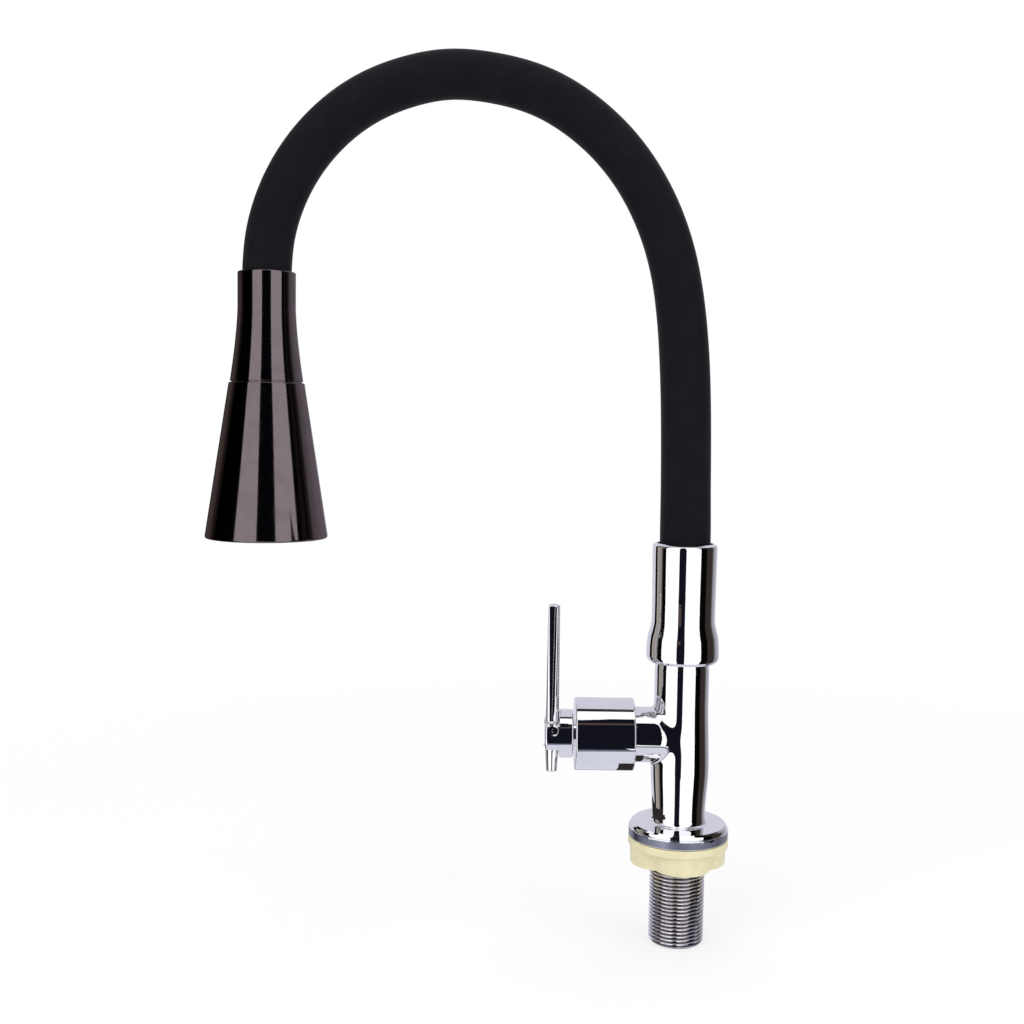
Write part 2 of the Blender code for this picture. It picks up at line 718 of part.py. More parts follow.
def make_deck_seal():
    outer = SEAL_GROOVE_INNER + SEAL_GROOVE_WIDTH - SEAT_GAP
    top = SEAL_GROOVE_DEPTH - SEAT_GAP
    return settle(
        turned("deck_seal", ring_profile(outer, SEAL_GROOVE_INNER + SEAT_GAP, 0.0, top), BLACK_RUBBER)
    )


def nut_outline():
    """Four broad rounded lobes that meet in creases, as points round the axis."""
    points = []
    count = NUT_LOBES * NUT_LOBE_STEPS
    for index in range(count):
        place = (index % NUT_LOBE_STEPS) / NUT_LOBE_STEPS
        share = 2 * min(place, 1 - place)
        radius = NUT_CORNER_RADIUS + (NUT_HOLLOW_RADIUS - NUT_CORNER_RADIUS) * share**2
        angle = 2 * math.pi * index / count + NUT_TURN - math.pi / 2
        points.append((radius * math.cos(angle), radius * math.sin(angle)))
    return points


def make_lock_nut():
    """Moulded nut: a round clamping rim over a grip with four lobes."""
    top = -SEAT_GAP
    bore = THREAD_RADIUS + SEAT_GAP
    outline = bpy.data.curves.new("nut_grip", "CURVE")
    outline.dimensions = "2D"
    outline.fill_mode = "BOTH"
    spline = outline.splines.new("POLY")
    points = nut_outline()
    spline.points.add(len(points) - 1)
    for point, (x, y) in zip(spline.points, points):
        point.co = (x, y, 0.0, 1.0)
    spline.use_cyclic_u = True
    grip_height = NUT_HEIGHT - NUT_RIM_HEIGHT / 2
    outline.extrude = grip_height / 2
    curve = bpy.data.objects.new("nut_grip", outline)
    CUTTERS.objects.link(curve)
    bpy.context.view_layer.update()
    mesh = bpy.data.meshes.new_from_object(curve.evaluated_get(bpy.context.evaluated_depsgraph_get()))
    shape = bmesh.new()
    shape.from_mesh(mesh)
    bmesh.ops.remove_doubles(shape, verts=shape.verts, dist=NUT_EDGE / 100)
    shape.to_mesh(mesh)
    shape.free()
    bpy.data.objects.remove(curve, do_unlink=True)
    grip = add_object("nut_grip", mesh, CUTTERS)
    grip.location.z = top - NUT_HEIGHT + grip_height / 2
    rim = turned(
        "lock_nut",
        [
            (0.0, top),
            (NUT_RIM_RADIUS - NUT_EDGE, top),
            (NUT_RIM_RADIUS, top - NUT_EDGE),
            (NUT_RIM_RADIUS, top - NUT_RIM_HEIGHT),
            (0.0, top - NUT_RIM_HEIGHT),
        ],
        CREAM_PLASTIC,
        steps=SHOWN_STEPS,
    )
    hole = turned(
        "nut_bore",
        [
            (0.0, OVERRUN),
            (bore, OVERRUN),
            (bore, top - NUT_HEIGHT - OVERRUN),
            (0.0, top - NUT_HEIGHT - OVERRUN),
        ],
        steps=SHOWN_STEPS,
        collection=CUTTERS,
    )
    return settle(cut(join(rim, grip), hole))


def port_drills(name, start, end, radius, outlet_radius):
    """Cutters for the two inlets and the outlet, along the branch."""
    inlet_height = VALVE_HEIGHT - INLET_DROP
    outlet_height = VALVE_HEIGHT + OUTLET_RISE
    cutters = [
        drill(
            f"{name}_inlet_{side}",
            radius,
            (-start + OVERRUN, side * HOSE_PORT_OFFSET, inlet_height),
            (-end - OVERRUN, side * HOSE_PORT_OFFSET, inlet_height),
        )
        for side in (-1, 1)
    ]
    cutters.append(
        drill(
            f"{name}_outlet",
            outlet_radius,
            (-start + OVERRUN, 0.0, outlet_height),
            (-end - OVERRUN, 0.0, outlet_height),
        )
    )
    return cutters


def make_cartridge():
    """Port seal, housing, ceramic discs, stem with its O-ring, and the nut that holds them in."""
    seal_start = SEAT_PLACE + SEAT_GAP
    seal_end = seal_start + PORT_SEAL_THICKNESS
    seal = turned(
        "port_seal",
        [(0.0, seal_end), (CARTRIDGE_RADIUS, seal_end), (CARTRIDGE_RADIUS, seal_start), (0.0, seal_start)],
        BLACK_RUBBER,
    )
    lay_along_branch(seal).location.z = VALVE_HEIGHT
    settle(cut(seal, *port_drills("seal", seal_start, seal_end, INLET_RADIUS, OUTLET_RADIUS)))

    body_start = seal_end + SEAT_GAP
    body_end = body_start + CARTRIDGE_BODY_LENGTH
    neck_end = body_end + CARTRIDGE_NECK_LENGTH
    roof = body_end - CARTRIDGE_ROOF
    disc_bore = DISC_RADIUS + SEAT_GAP
    stem_bore = STEM_RADIUS + RUN_GAP
    housing = turned(
        "cartridge_housing",
        [
            (CARTRIDGE_NECK_RADIUS, neck_end),
            (CARTRIDGE_NECK_RADIUS, body_end),
            (CARTRIDGE_RADIUS, body_end),
            (CARTRIDGE_RADIUS, body_start),
            (disc_bore, body_start),
            (disc_bore, roof),
            (stem_bore, roof),
            (stem_bore, neck_end),
        ],
        WHITE_PLASTIC,
    )
    settle(lay_along_branch(housing)).location.z = VALVE_HEIGHT

    fixed_start = body_start + SEAT_GAP
    fixed_end = fixed_start + FIXED_DISC_THICKNESS
    fixed = turned(
        "fixed_disc",
        [(0.0, fixed_end), (DISC_RADIUS, fixed_end), (DISC_RADIUS, fixed_start), (0.0, fixed_start)],
        CERAMIC,
    )
    lay_along_branch(fixed).location.z = VALVE_HEIGHT
    settle(cut(fixed, *port_drills("fixed", fixed_start, fixed_end, INLET_RADIUS, OUTLET_RADIUS)))

    moving_radius = DISC_RADIUS - RUN_GAP + SEAT_GAP
    moving_start = fixed_end + SEAT_GAP
    moving_end = moving_start + MOVING_DISC_THICKNESS
    moving = turned(
        "moving_disc",
        [
            (0.0, moving_end),
            (moving_radius, moving_end),
            (moving_radius, moving_start),
            (0.0, moving_start),
        ],
        CERAMIC,
        parent=lever_axis,
    )
    settle(lay_along_branch(moving))
    channel = drill(
        "moving_channel",
        MOVING_DISC_SLOT,
        (-moving_start + OVERRUN, 0.0, MOVING_DISC_SLOT),
        (-moving_end - OVERRUN, 0.0, MOVING_DISC_SLOT),
    )
    channel.parent = lever_axis
    settle(cut(moving, channel))

    stem_start = moving_end + SEAT_GAP
    carrier_end = stem_start + CARRIER_THICKNESS
    groove_start = carrier_end + STEM_GROOVE_PLACE
    groove_end = groove_start + GLAND_WIDTH
    stem_end = stem_start + STEM_LENGTH - CARTRIDGE_BODY_LENGTH + FIXED_DISC_THICKNESS
    groove_floor = STEM_RADIUS - GLAND_DEPTH
    stem = turned(
        "valve_stem",
        [
            (0.0, stem_end),
            (STEM_RADIUS - HUB_EDGE, stem_end),
            (STEM_RADIUS, stem_end - HUB_EDGE),
            (STEM_RADIUS, groove_end),
            (groove_floor, groove_end),
            (groove_floor, groove_start),
            (STEM_RADIUS, groove_start),
            (STEM_RADIUS, carrier_end),
            (moving_radius, carrier_end),
            (moving_radius, stem_start),
            (0.0, stem_start),
        ],
        BRASS,
        parent=lever_axis,
    )
    settle(lay_along_branch(stem))
    o_ring = make_o_ring("stem_o_ring", groove_floor, stem_bore, (groove_start + groove_end) / 2, None)
    lay_along_branch(o_ring).location.z = VALVE_HEIGHT

    nut_start = body_end + SEAT_GAP
    nut = turned(
        "cartridge_nut",
        ring_profile(
            CARTRIDGE_RADIUS, CARTRIDGE_NECK_RADIUS + SEAT_GAP, nut_start, nut_start + NUT_RING_LENGTH
        ),
        BRASS,
    )
    settle(lay_along_branch(nut)).location.z = VALVE_HEIGHT


def make_o_ring(name, floor, bore, height, parent):
    """A rubber ring that fills its gland but for a gap at the floor and the bore."""
    section = (bore - floor) / 2 - SEAT_GAP
    middle = (bore + floor) / 2
    profile = arc((middle, height), section, 90, RING_END, 4)
    return settle(turned(name, profile, BLACK_RUBBER, parent, steps=RING_STEPS))


def make_valve_cover():
    """Turned cap that screws over the socket and hides the cartridge."""
    bore = SOCKET_RADIUS + SEAT_GAP
    outer = bore + COVER_WALL
    end = COVER_START + COVER_LENGTH
    inner_end = end - COVER_END_WALL
    cover = turned(
        "valve_cover",
        [
            (outer - COVER_EDGE, end),
            (outer, end - COVER_EDGE),
            (outer, COVER_START + COVER_EDGE),
            (outer - COVER_EDGE, COVER_START),
            (bore, COVER_START),
            (bore, inner_end),
            (COVER_HOLE_RADIUS, inner_end),
            (COVER_HOLE_RADIUS, end),
        ],
        CHROME,
        steps=BRANCH_STEPS,
    )
    settle(lay_along_branch(cover)).location.z = VALVE_HEIGHT


def block(name, low, high):
    """A box cutter between two corners."""
    mesh = bpy.data.meshes.new(name)
    shape = bmesh.new()
    bmesh.ops.create_cube(shape, size=1.0)
    low, high = Vector(low), Vector(high)
    bmesh.ops.scale(shape, verts=shape.verts, vec=high - low)
    bmesh.ops.translate(shape, verts=shape.verts, vec=(low + high) / 2)
    shape.to_mesh(mesh)
    shape.free()
    return add_object(name, mesh, CUTTERS)


def make_lever_handle():
    """Hub and pin in one casting, with a blind bore for the stem and a grub screw below."""
    hub_start = COVER_START + COVER_LENGTH + HANDLE_GAP
    hub_end = hub_start + HUB_LENGTH
    rod_place = hub_end - ROD_INSET
    bore = STEM_RADIUS + SEAT_GAP
    hub = turned(
        "lever_handle",
        [
            (0.0, hub_end),
            (HUB_RADIUS - HUB_EDGE, hub_end),
            (HUB_RADIUS, hub_end - HUB_EDGE),
            (HUB_RADIUS, hub_start + HUB_EDGE),
            (HUB_RADIUS - HUB_EDGE, hub_start),
            (bore, hub_start),
            (bore, hub_start + HUB_BORE_DEPTH),
            (0.0, hub_start + HUB_BORE_DEPTH),
        ],
        CHROME,
        parent=lever_axis,
        steps=BRANCH_STEPS,
    )
    settle(lay_along_branch(hub))
    step = -(hub_start + HUB_STEP_PLACE)
    reach = HUB_RADIUS + OVERRUN
    for side in (-1, 1):
        heights = sorted((side * HUB_FLAT_HEIGHT, side * reach))
        lowest = (-hub_end - OVERRUN, -reach, heights[0])
        highest = (step, reach, heights[1])
        flat = block(f"hub_flat_{side}", lowest, highest)
        flat.parent = lever_axis
        cut(hub, flat)
    rod = turned(
        "lever_rod_form",
        [
            (0.0, ROD_UP),
            (ROD_TOP_RADIUS - ROD_EDGE, ROD_UP),
            (ROD_TOP_RADIUS, ROD_UP - ROD_EDGE),
            (ROD_RADIUS, HUB_FLAT_HEIGHT),
            (ROD_RADIUS, -HUB_FLAT_HEIGHT),
            (ROD_BOTTOM_RADIUS, ROD_EDGE - ROD_DOWN),
            (ROD_BOTTOM_RADIUS - ROD_EDGE, -ROD_DOWN),
            (0.0, -ROD_DOWN),
        ],
        parent=lever_axis,
        steps=ROD_STEPS,
        collection=CUTTERS,
    )
    rod.location.x = -rod_place
    screw_place = -(hub_start + HANDLE_SCREW_PLACE)
    hole = drill(
        "handle_screw_hole",
        HANDLE_SCREW_RADIUS + SEAT_GAP,
        (screw_place, 0.0, -bore + OVERRUN),
        (screw_place, 0.0, -HUB_RADIUS - OVERRUN),
    )
    hole.parent = lever_axis
    settle(cut(join(hub, rod), hole))
    screw = turned(
        "handle_grub_screw",
        [
            (0.0, -STEM_RADIUS - SEAT_GAP),
            (HANDLE_SCREW_RADIUS, -STEM_RADIUS - SEAT_GAP),
            (HANDLE_SCREW_RADIUS, -STEM_RADIUS - SEAT_GAP - HANDLE_SCREW_LENGTH),
            (0.0, -STEM_RADIUS - SEAT_GAP - HANDLE_SCREW_LENGTH),
        ],
        STEEL,
        parent=lever_axis,
        steps=DRILL_STEPS,
    )
    settle(screw).location.x = screw_place


def gland(radius, floor, bottom, top):
    """The three inner corners and the lower outer corner of a ring groove, going down."""
    return [(radius, top), (floor, top), (floor, bottom), (radius, bottom)]


def make_spout_spigot():
    """Brass spigot in the column's bore, its O-rings, slip ring and retaining grub screw."""
    floor = SPIGOT_RADIUS - GLAND_DEPTH
    lower = SPIGOT_BOTTOM + LOWER_GLAND_PLACE
    upper = SPIGOT_BOTTOM + UPPER_GLAND_PLACE
    catch = SPIGOT_BOTTOM + SPIGOT_GROOVE_PLACE
    catch_floor = SPIGOT_RADIUS - SPIGOT_GROOVE_DEPTH
    nose_top = SHOULDER_TOP + SEAT_GAP + NOSE_LENGTH
    profile = [
        (NIPPLE_RADIUS, nose_top + NIPPLE_LENGTH),
        (NIPPLE_RADIUS, nose_top),
        (NOSE_RADIUS, nose_top),
        (NOSE_RADIUS, SHOULDER_TOP),
        (COLUMN_RADIUS, SHOULDER_TOP),
        (COLUMN_RADIUS, SPIGOT_TOP),
        (SPIGOT_RADIUS, SPIGOT_TOP),
    ]
    profile += gland(SPIGOT_RADIUS, catch_floor, catch, catch + SPIGOT_GROOVE_WIDTH)
    profile += gland(SPIGOT_RADIUS, floor, upper, upper + GLAND_WIDTH)
    profile += gland(SPIGOT_RADIUS, floor, lower, lower + GLAND_WIDTH)
    profile += [
        (SPIGOT_RADIUS, SPIGOT_BOTTOM),
        (SPIGOT_BORE_RADIUS, SPIGOT_BOTTOM),
        (SPIGOT_BORE_RADIUS, nose_top + NIPPLE_LENGTH),
    ]
    profile = [(radius, height - COLUMN_HEIGHT) for radius, height in profile]
    settle(turned("spout_spigot", profile, BRASS, spout_axis))
    for name, place in (("spigot_lower_o_ring", lower), ("spigot_upper_o_ring", upper)):
        height = place + GLAND_WIDTH / 2 - COLUMN_HEIGHT
        make_o_ring(name, floor, SPIGOT_BORE, height, spout_axis)
    slip_bottom = COLUMN_HEIGHT + SEAT_GAP
    slip = ring_profile(
        COLUMN_RADIUS - SEAT_GAP, SPIGOT_RADIUS + RUN_GAP, slip_bottom, slip_bottom + SLIP_RING_HEIGHT
    )
    settle(turned("slip_ring", slip, WHITE_PLASTIC))
    screw = turned(
        "spigot_grub_screw",
        [
            (0.0, SPIGOT_SCREW_LENGTH),
            (SPIGOT_SCREW_RADIUS, SPIGOT_SCREW_LENGTH),
            (SPIGOT_SCREW_RADIUS, 0.0),
            (0.0, 0.0),
        ],
        STEEL,
        steps=DRILL_STEPS,
    )
    settle(screw).rotation_euler = (-math.pi / 2, 0.0, 0.0)
    screw.location = (0.0, catch_floor + RUN_GAP, catch + SPIGOT_GROOVE_WIDTH / 2)


def make_swivel_collar():
    """Turned collar that hides the swivel and grips the hose, with a bearing ring in its mouth."""
    column_bore = COLUMN_RADIUS + RUN_GAP
    top_radius = HOSE_MOUTH + COLLAR_WALL
    waist = top_radius - COLLAR_TAPER
    flare = waist + COLLAR_FLARE
    mouth = column_bore + COLLAR_BEARING_WALL + SEAT_GAP
    shoulder = SHOULDER_TOP + SEAT_GAP
    flare_top = COLLAR_BOTTOM + COLLAR_FLARE_TOP
    flare_full = COLLAR_BOTTOM + COLLAR_FLARE_FULL
    profile = arc((top_radius - COLLAR_TOP_EDGE, COLLAR_TOP - COLLAR_TOP_EDGE), COLLAR_TOP_EDGE, 90, 0, 3)
    profile.append((waist, flare_top))
    profile += [
        (waist + COLLAR_FLARE * out, flare_top - (flare_top - flare_full) * down)
        for out, down in COLLAR_FLARE_SHARES
    ]
    profile += arc((flare - COLLAR_LIP_EDGE, COLLAR_BOTTOM + COLLAR_LIP_EDGE), COLLAR_LIP_EDGE, 0, -90, 3)
    profile += [
        (mouth, COLLAR_BOTTOM),
        (mouth, COLLAR_BOTTOM + COLLAR_MOUTH_DEPTH),
        (column_bore, COLLAR_BOTTOM + COLLAR_MOUTH_DEPTH),
        (column_bore, shoulder),
        (HOSE_MOUTH, shoulder),
        (HOSE_MOUTH, COLLAR_TOP),
    ]
    profile = [(radius, height - COLUMN_HEIGHT) for radius, height in profile]
    settle(turned("swivel_collar", profile, CHROME, spout_axis, SHOWN_STEPS))
    bearing_bottom = COLLAR_BOTTOM + COLLAR_LIP_EDGE - COLUMN_HEIGHT
    bearing_top = COLLAR_BOTTOM + COLLAR_MOUTH_DEPTH - SEAT_GAP - COLUMN_HEIGHT
    bearing = ring_profile(mouth - SEAT_GAP, column_bore, bearing_bottom, bearing_top)
    settle(turned("collar_bearing", bearing, WHITE_PLASTIC, spout_axis, BRANCH_STEPS))


def route_points():
    """Hand-chosen points of the hose's centre line, from inside the collar to inside the head."""
    apex = REACH * APEX_SHARE
    points = [(0.0, CONDUIT_START), (0.0, SLEEVE_START), (0.0, COLLAR_TOP)]
    points += [
        (-apex * across, COLLAR_TOP + (ARCH_TOP - COLLAR_TOP) * rise) for across, rise in RISING_SHARES
    ]
    points += [
        (-apex - (REACH - apex) * across, ARCH_TOP - (ARCH_TOP - HEAD_TOP) * fall)
        for across, fall in FALLING_SHARES
    ]
    points += [(-REACH, SLEEVE_END), (-REACH, CONDUIT_END)]
    return [Vector((x, 0.0, z)) for x, z in points]


def smooth_route(points):
    """Even points along a smooth curve through the route's own, from the sleeve's foot to its end."""
    fine = []
    padded = [2 * points[0] - points[1], *points, 2 * points[-1] - points[-2]]
    for before, first, second, after in zip(padded, padded[1:], padded[2:], padded[3:]):
        for step in range(ROUTE_STEPS):
            t = step / ROUTE_STEPS
            fine.append(
                0.5
                * (
                    2 * first
                    + (second - before) * t
                    + (2 * before - 5 * first + 4 * second - after) * t**2
                    + (3 * first - before - 3 * second + after) * t**3
                )
            )
    fine.append(points[-1])
    middle = max(range(len(fine)), key=lambda i: fine[i].z)
    rising = [p for p in fine[:middle] if p.z > SLEEVE_START + SEAT_GAP]
    falling = [p for p in fine[middle:] if p.z > SLEEVE_END + SEAT_GAP]
    fine = [Vector((0.0, 0.0, SLEEVE_START)), *rising, *falling, Vector((-REACH, 0.0, SLEEVE_END))]
    along = [0.0]
    for first, second in zip(fine, fine[1:]):
        along.append(along[-1] + (second - first).length)
    even = []
    for ring in range(HOSE_RINGS + 1):
        wanted = along[-1] * ring / HOSE_RINGS
        index = max(i for i in range(len(along) - 1) if along[i] <= wanted)
        part = (wanted - along[index]) / (along[index + 1] - along[index])
        even.append(fine[index].lerp(fine[index + 1], part))
    return even


def make_hose_layer(name, radius, wall, route, side_steps, material):
    """One open tube along the route, given its wall inwards."""
    curve = bpy.data.curves.new(name, "CURVE")
    curve.dimensions = "3D"
    curve.bevel_depth = radius
    curve.bevel_resolution = side_steps
    spline = curve.splines.new("POLY")
    spline.points.add(len(route) - 1)
    for point, place in zip(spline.points, route):
        point.co = (*place, 1.0)
    guide = bpy.data.objects.new(name, curve)
    CUTTERS.objects.link(guide)
    bpy.context.view_layer.update()
    mesh = bpy.data.meshes.new_from_object(guide.evaluated_get(bpy.context.evaluated_depsgraph_get()))
    bpy.data.objects.remove(guide, do_unlink=True)
    tube = add_object(name, mesh, material=material)
    solidify = tube.modifiers.new("wall", "SOLIDIFY")
    solidify.thickness = wall
    solidify.offset = -1
    solidify.use_even_offset = True
    settle(tube)


def make_hose():
    """The three layers share their rings, so that their facets lie inside one another."""
    sleeve_route = smooth_route(route_points())
    inner_route = [Vector((0.0, 0.0, CONDUIT_START)), *sleeve_route, Vector((-REACH, 0.0, CONDUIT_END))]
    make_hose_layer(
        "silicone_sleeve", HOSE_RADIUS, SLEEVE_WALL, sleeve_route, SLEEVE_SIDE_STEPS, SILICONE
    )
    make_hose_layer(
        "gooseneck_conduit", CONDUIT_RADIUS, CONDUIT_WALL, inner_route, INNER_SIDE_STEPS, STEEL
    )
    make_hose_layer("water_tube", TUBE_RADIUS, TUBE_WALL, inner_route, INNER_SIDE_STEPS, BLACK_RUBBER)


def ferrule_profile(base):
    """Ring with a socket for the conduit at its top and a bore for a nipple's nose at its foot."""
    socket = CONDUIT_RADIUS + SEAT_GAP
    bore = NOSE_RADIUS + SEAT_GAP
    floor = base + FERRULE_LENGTH - FERRULE_SOCKET_DEPTH
    end = base + FERRULE_LENGTH
    return [
        (FERRULE_RADIUS, end),
        (FERRULE_RADIUS, base),
        (bore, base),
        (bore, floor),
        (socket, floor),
        (socket, end),
    ]


def make_ferrules():
    lower = [(radius, height - COLUMN_HEIGHT) for radius, height in ferrule_profile(FERRULE_BOTTOM)]
    settle(turned("lower_ferrule", lower, STEEL, spout_axis))
    settle(turned("upper_ferrule", ferrule_profile(UPPER_FERRULE_BOTTOM), STEEL, head_axis))


def make_head_nipple():
    """Brass nipple that holds the hose's water tube and turns in the head's core."""
    flange_bottom = CUP_FLOOR + SEAT_GAP
    flange = CORE_CUP_RADIUS - RUN_GAP
    journal_bottom = CUP_FLOOR - JOURNAL_LENGTH
    groove = journal_bottom + JOURNAL_GLAND_PLACE
    floor = JOURNAL_RADIUS - GLAND_DEPTH
    nose_top = UPPER_FERRULE_BOTTOM + NOSE_LENGTH
    profile = [
        (NIPPLE_RADIUS, nose_top + NIPPLE_LENGTH),
        (NIPPLE_RADIUS, nose_top),
        (NOSE_RADIUS, nose_top),
        (NOSE_RADIUS, NIPPLE_FLANGE_TOP),
        (flange, NIPPLE_FLANGE_TOP),
        (flange, flange_bottom),
        (JOURNAL_RADIUS, flange_bottom),
    ]
    profile += gland(JOURNAL_RADIUS, floor, groove, groove + GLAND_WIDTH)
    profile += [
        (JOURNAL_RADIUS, journal_bottom),
        (SPIGOT_BORE_RADIUS, journal_bottom),
        (SPIGOT_BORE_RADIUS, nose_top + NIPPLE_LENGTH),
    ]
    settle(turned("head_nipple", profile, BRASS, head_axis))
    make_o_ring("nipple_o_ring", floor, JOURNAL_RADIUS + RUN_GAP, groove + GLAND_WIDTH / 2, head_axis)


def make_head_core():
    """Plastic core that carries both shells, with its rings and the fixed diverter disc."""
    journal_bore = JOURNAL_RADIUS + RUN_GAP
    bore_floor = CUP_FLOOR - JOURNAL_LENGTH - RUN_GAP
    thread_top = BELL_NECK_BOTTOM
    thread_bottom = thread_top - CORE_THREAD_LENGTH
    groove = CORE_BOTTOM + CORE_GLAND_PLACE
    floor = CORE_STEM_RADIUS - GLAND_DEPTH
    profile = [
        (CORE_RADIUS, CORE_TOP),
        (CORE_RADIUS, thread_top),
        (CORE_THREAD_RADIUS, thread_top),
        (CORE_THREAD_RADIUS, thread_bottom),
        (CORE_STEM_RADIUS, thread_bottom),
    ]
    profile += gland(CORE_STEM_RADIUS, floor, groove, groove + GLAND_WIDTH)
    profile += [
        (CORE_STEM_RADIUS, CORE_BOTTOM),
        (CORE_BORE_RADIUS, CORE_BOTTOM),
        (CORE_BORE_RADIUS, bore_floor),
        (journal_bore, bore_floor),
        (journal_bore, CUP_FLOOR),
        (CORE_CUP_RADIUS, CUP_FLOOR),
        (CORE_CUP_RADIUS, CORE_TOP),
    ]
    settle(turned("head_core", profile, WHITE_PLASTIC, head_axis, steps=BRANCH_STEPS))
    make_o_ring("core_o_ring", floor, CORE_STEM_RADIUS + RUN_GAP, groove + GLAND_WIDTH / 2, head_axis)
    retainer = ring_profile(
        CORE_CUP_RADIUS - SEAT_GAP, NOSE_RADIUS + RUN_GAP, NIPPLE_FLANGE_TOP + RUN_GAP, RETAINER_TOP
    )
    settle(turned("nipple_retainer", retainer, BRASS, head_axis))
    ring_top = BELL_NECK_BOTTOM - RUN_GAP
    ring = ring_profile(
        BELL_RETAINER_RADIUS, CORE_THREAD_RADIUS + SEAT_GAP, ring_top - BELL_RETAINER_HEIGHT, ring_top
    )
    settle(turned("bell_retainer", ring, BRASS, head_axis))
    disc = turned(
        "diverter_disc",
        [
            (0.0, DIVERTER_TOP),
            (CORE_STEM_RADIUS, DIVERTER_TOP),
            (CORE_STEM_RADIUS, DIVERTER_BOTTOM),
            (0.0, DIVERTER_BOTTOM),
        ],
        CERAMIC,
        head_axis,
    )
    holes = drill_pattern(
        "diverter_holes",
        (DIVERTER_HOLE_PLACE,),
        (DIVERTER_HOLE_COUNT,),
        DIVERTER_HOLE_RADIUS,
        DIVERTER_BOTTOM - OVERRUN,
        DIVERTER_TOP + OVERRUN,
    )
    holes.parent = head_axis
    settle(cut(disc, holes))


def make_upper_shell():
    """Upper shell: a straight neck that flares down to the seam."""
    neck = HOSE_MOUTH + HEAD_NECK_WALL
    neck_bottom = HEAD_TOP - HEAD_NECK_LENGTH
    flare_depth = neck_bottom - UPPER_SHELL_BOTTOM
    profile = arc((neck - HEAD_NECK_EDGE, HEAD_TOP - HEAD_NECK_EDGE), HEAD_NECK_EDGE, 90, 0, 2)
    for index in range(UPPER_SHELL_STEPS + 1):
        share = index / UPPER_SHELL_STEPS
        radius = neck + (UPPER_SHELL_SEAM_RADIUS - neck) * share**UPPER_SHELL_POWER
        profile.append((radius, neck_bottom - flare_depth * share))
    profile[-1] = (UPPER_SHELL_SEAM_RADIUS, UPPER_SHELL_BOTTOM + SHELL_EDGE)
    profile += [
        (UPPER_SHELL_SEAM_RADIUS - SHELL_EDGE, UPPER_SHELL_BOTTOM),
        (UPPER_SHELL_SEAM_RADIUS - SHELL_WALL, UPPER_SHELL_BOTTOM),
        (CORE_RADIUS + SEAT_GAP, CUP_FLOOR),
        (HOSE_MOUTH, CORE_TOP),
        (HOSE_MOUTH, HEAD_TOP),
    ]
    settle(turned("head_upper_shell", profile, GUNMETAL, head_axis, SHOWN_STEPS))


def bell_radius(height):
    return BELL_TOP_RADIUS + BELL_SLOPE * (BELL_TOP - height)


def make_spray_bell():
    """Lower shell, a straight cone that twists on the core, and the washer that makes it turn stiffly."""
    neck_bore = CORE_RADIUS + RUN_GAP
    groove_floor = BELL_TOP - WASHER_HEIGHT
    profile = [
        (BELL_TOP_RADIUS - SHELL_EDGE, BELL_TOP),
        (BELL_TOP_RADIUS, BELL_TOP - SHELL_EDGE),
        (BELL_RADIUS, HEAD_BOTTOM + BELL_EDGE),
        (BELL_RADIUS - BELL_EDGE, HEAD_BOTTOM),
        (FACE_SEAT_RADIUS, HEAD_BOTTOM),
        (FACE_SEAT_RADIUS, FACE_SEAT_TOP),
        (bell_radius(FACE_SEAT_TOP) - SHELL_WALL - SHELL_EDGE, FACE_SEAT_TOP),
        (bell_radius(BELL_NECK_BOTTOM) - SHELL_WALL - SHELL_EDGE, BELL_NECK_BOTTOM),
        (neck_bore, BELL_NECK_BOTTOM),
        (neck_bore, BELL_TOP),
        (WASHER_INNER, BELL_TOP),
        (WASHER_INNER, groove_floor),
        (WASHER_INNER + WASHER_WIDTH, groove_floor),
        (WASHER_INNER + WASHER_WIDTH, BELL_TOP),
    ]
    settle(turned("spray_bell", profile, GUNMETAL, head_axis, SHOWN_STEPS))
    washer = ring_profile(
        WASHER_INNER + WASHER_WIDTH - SEAT_GAP,
        WASHER_INNER + SEAT_GAP,
        groove_floor + SEAT_GAP,
        groove_floor + WASHER_HEIGHT + SEAT_GAP,
    )
    settle(turned("friction_washer", washer, DARK_PLASTIC, head_axis))


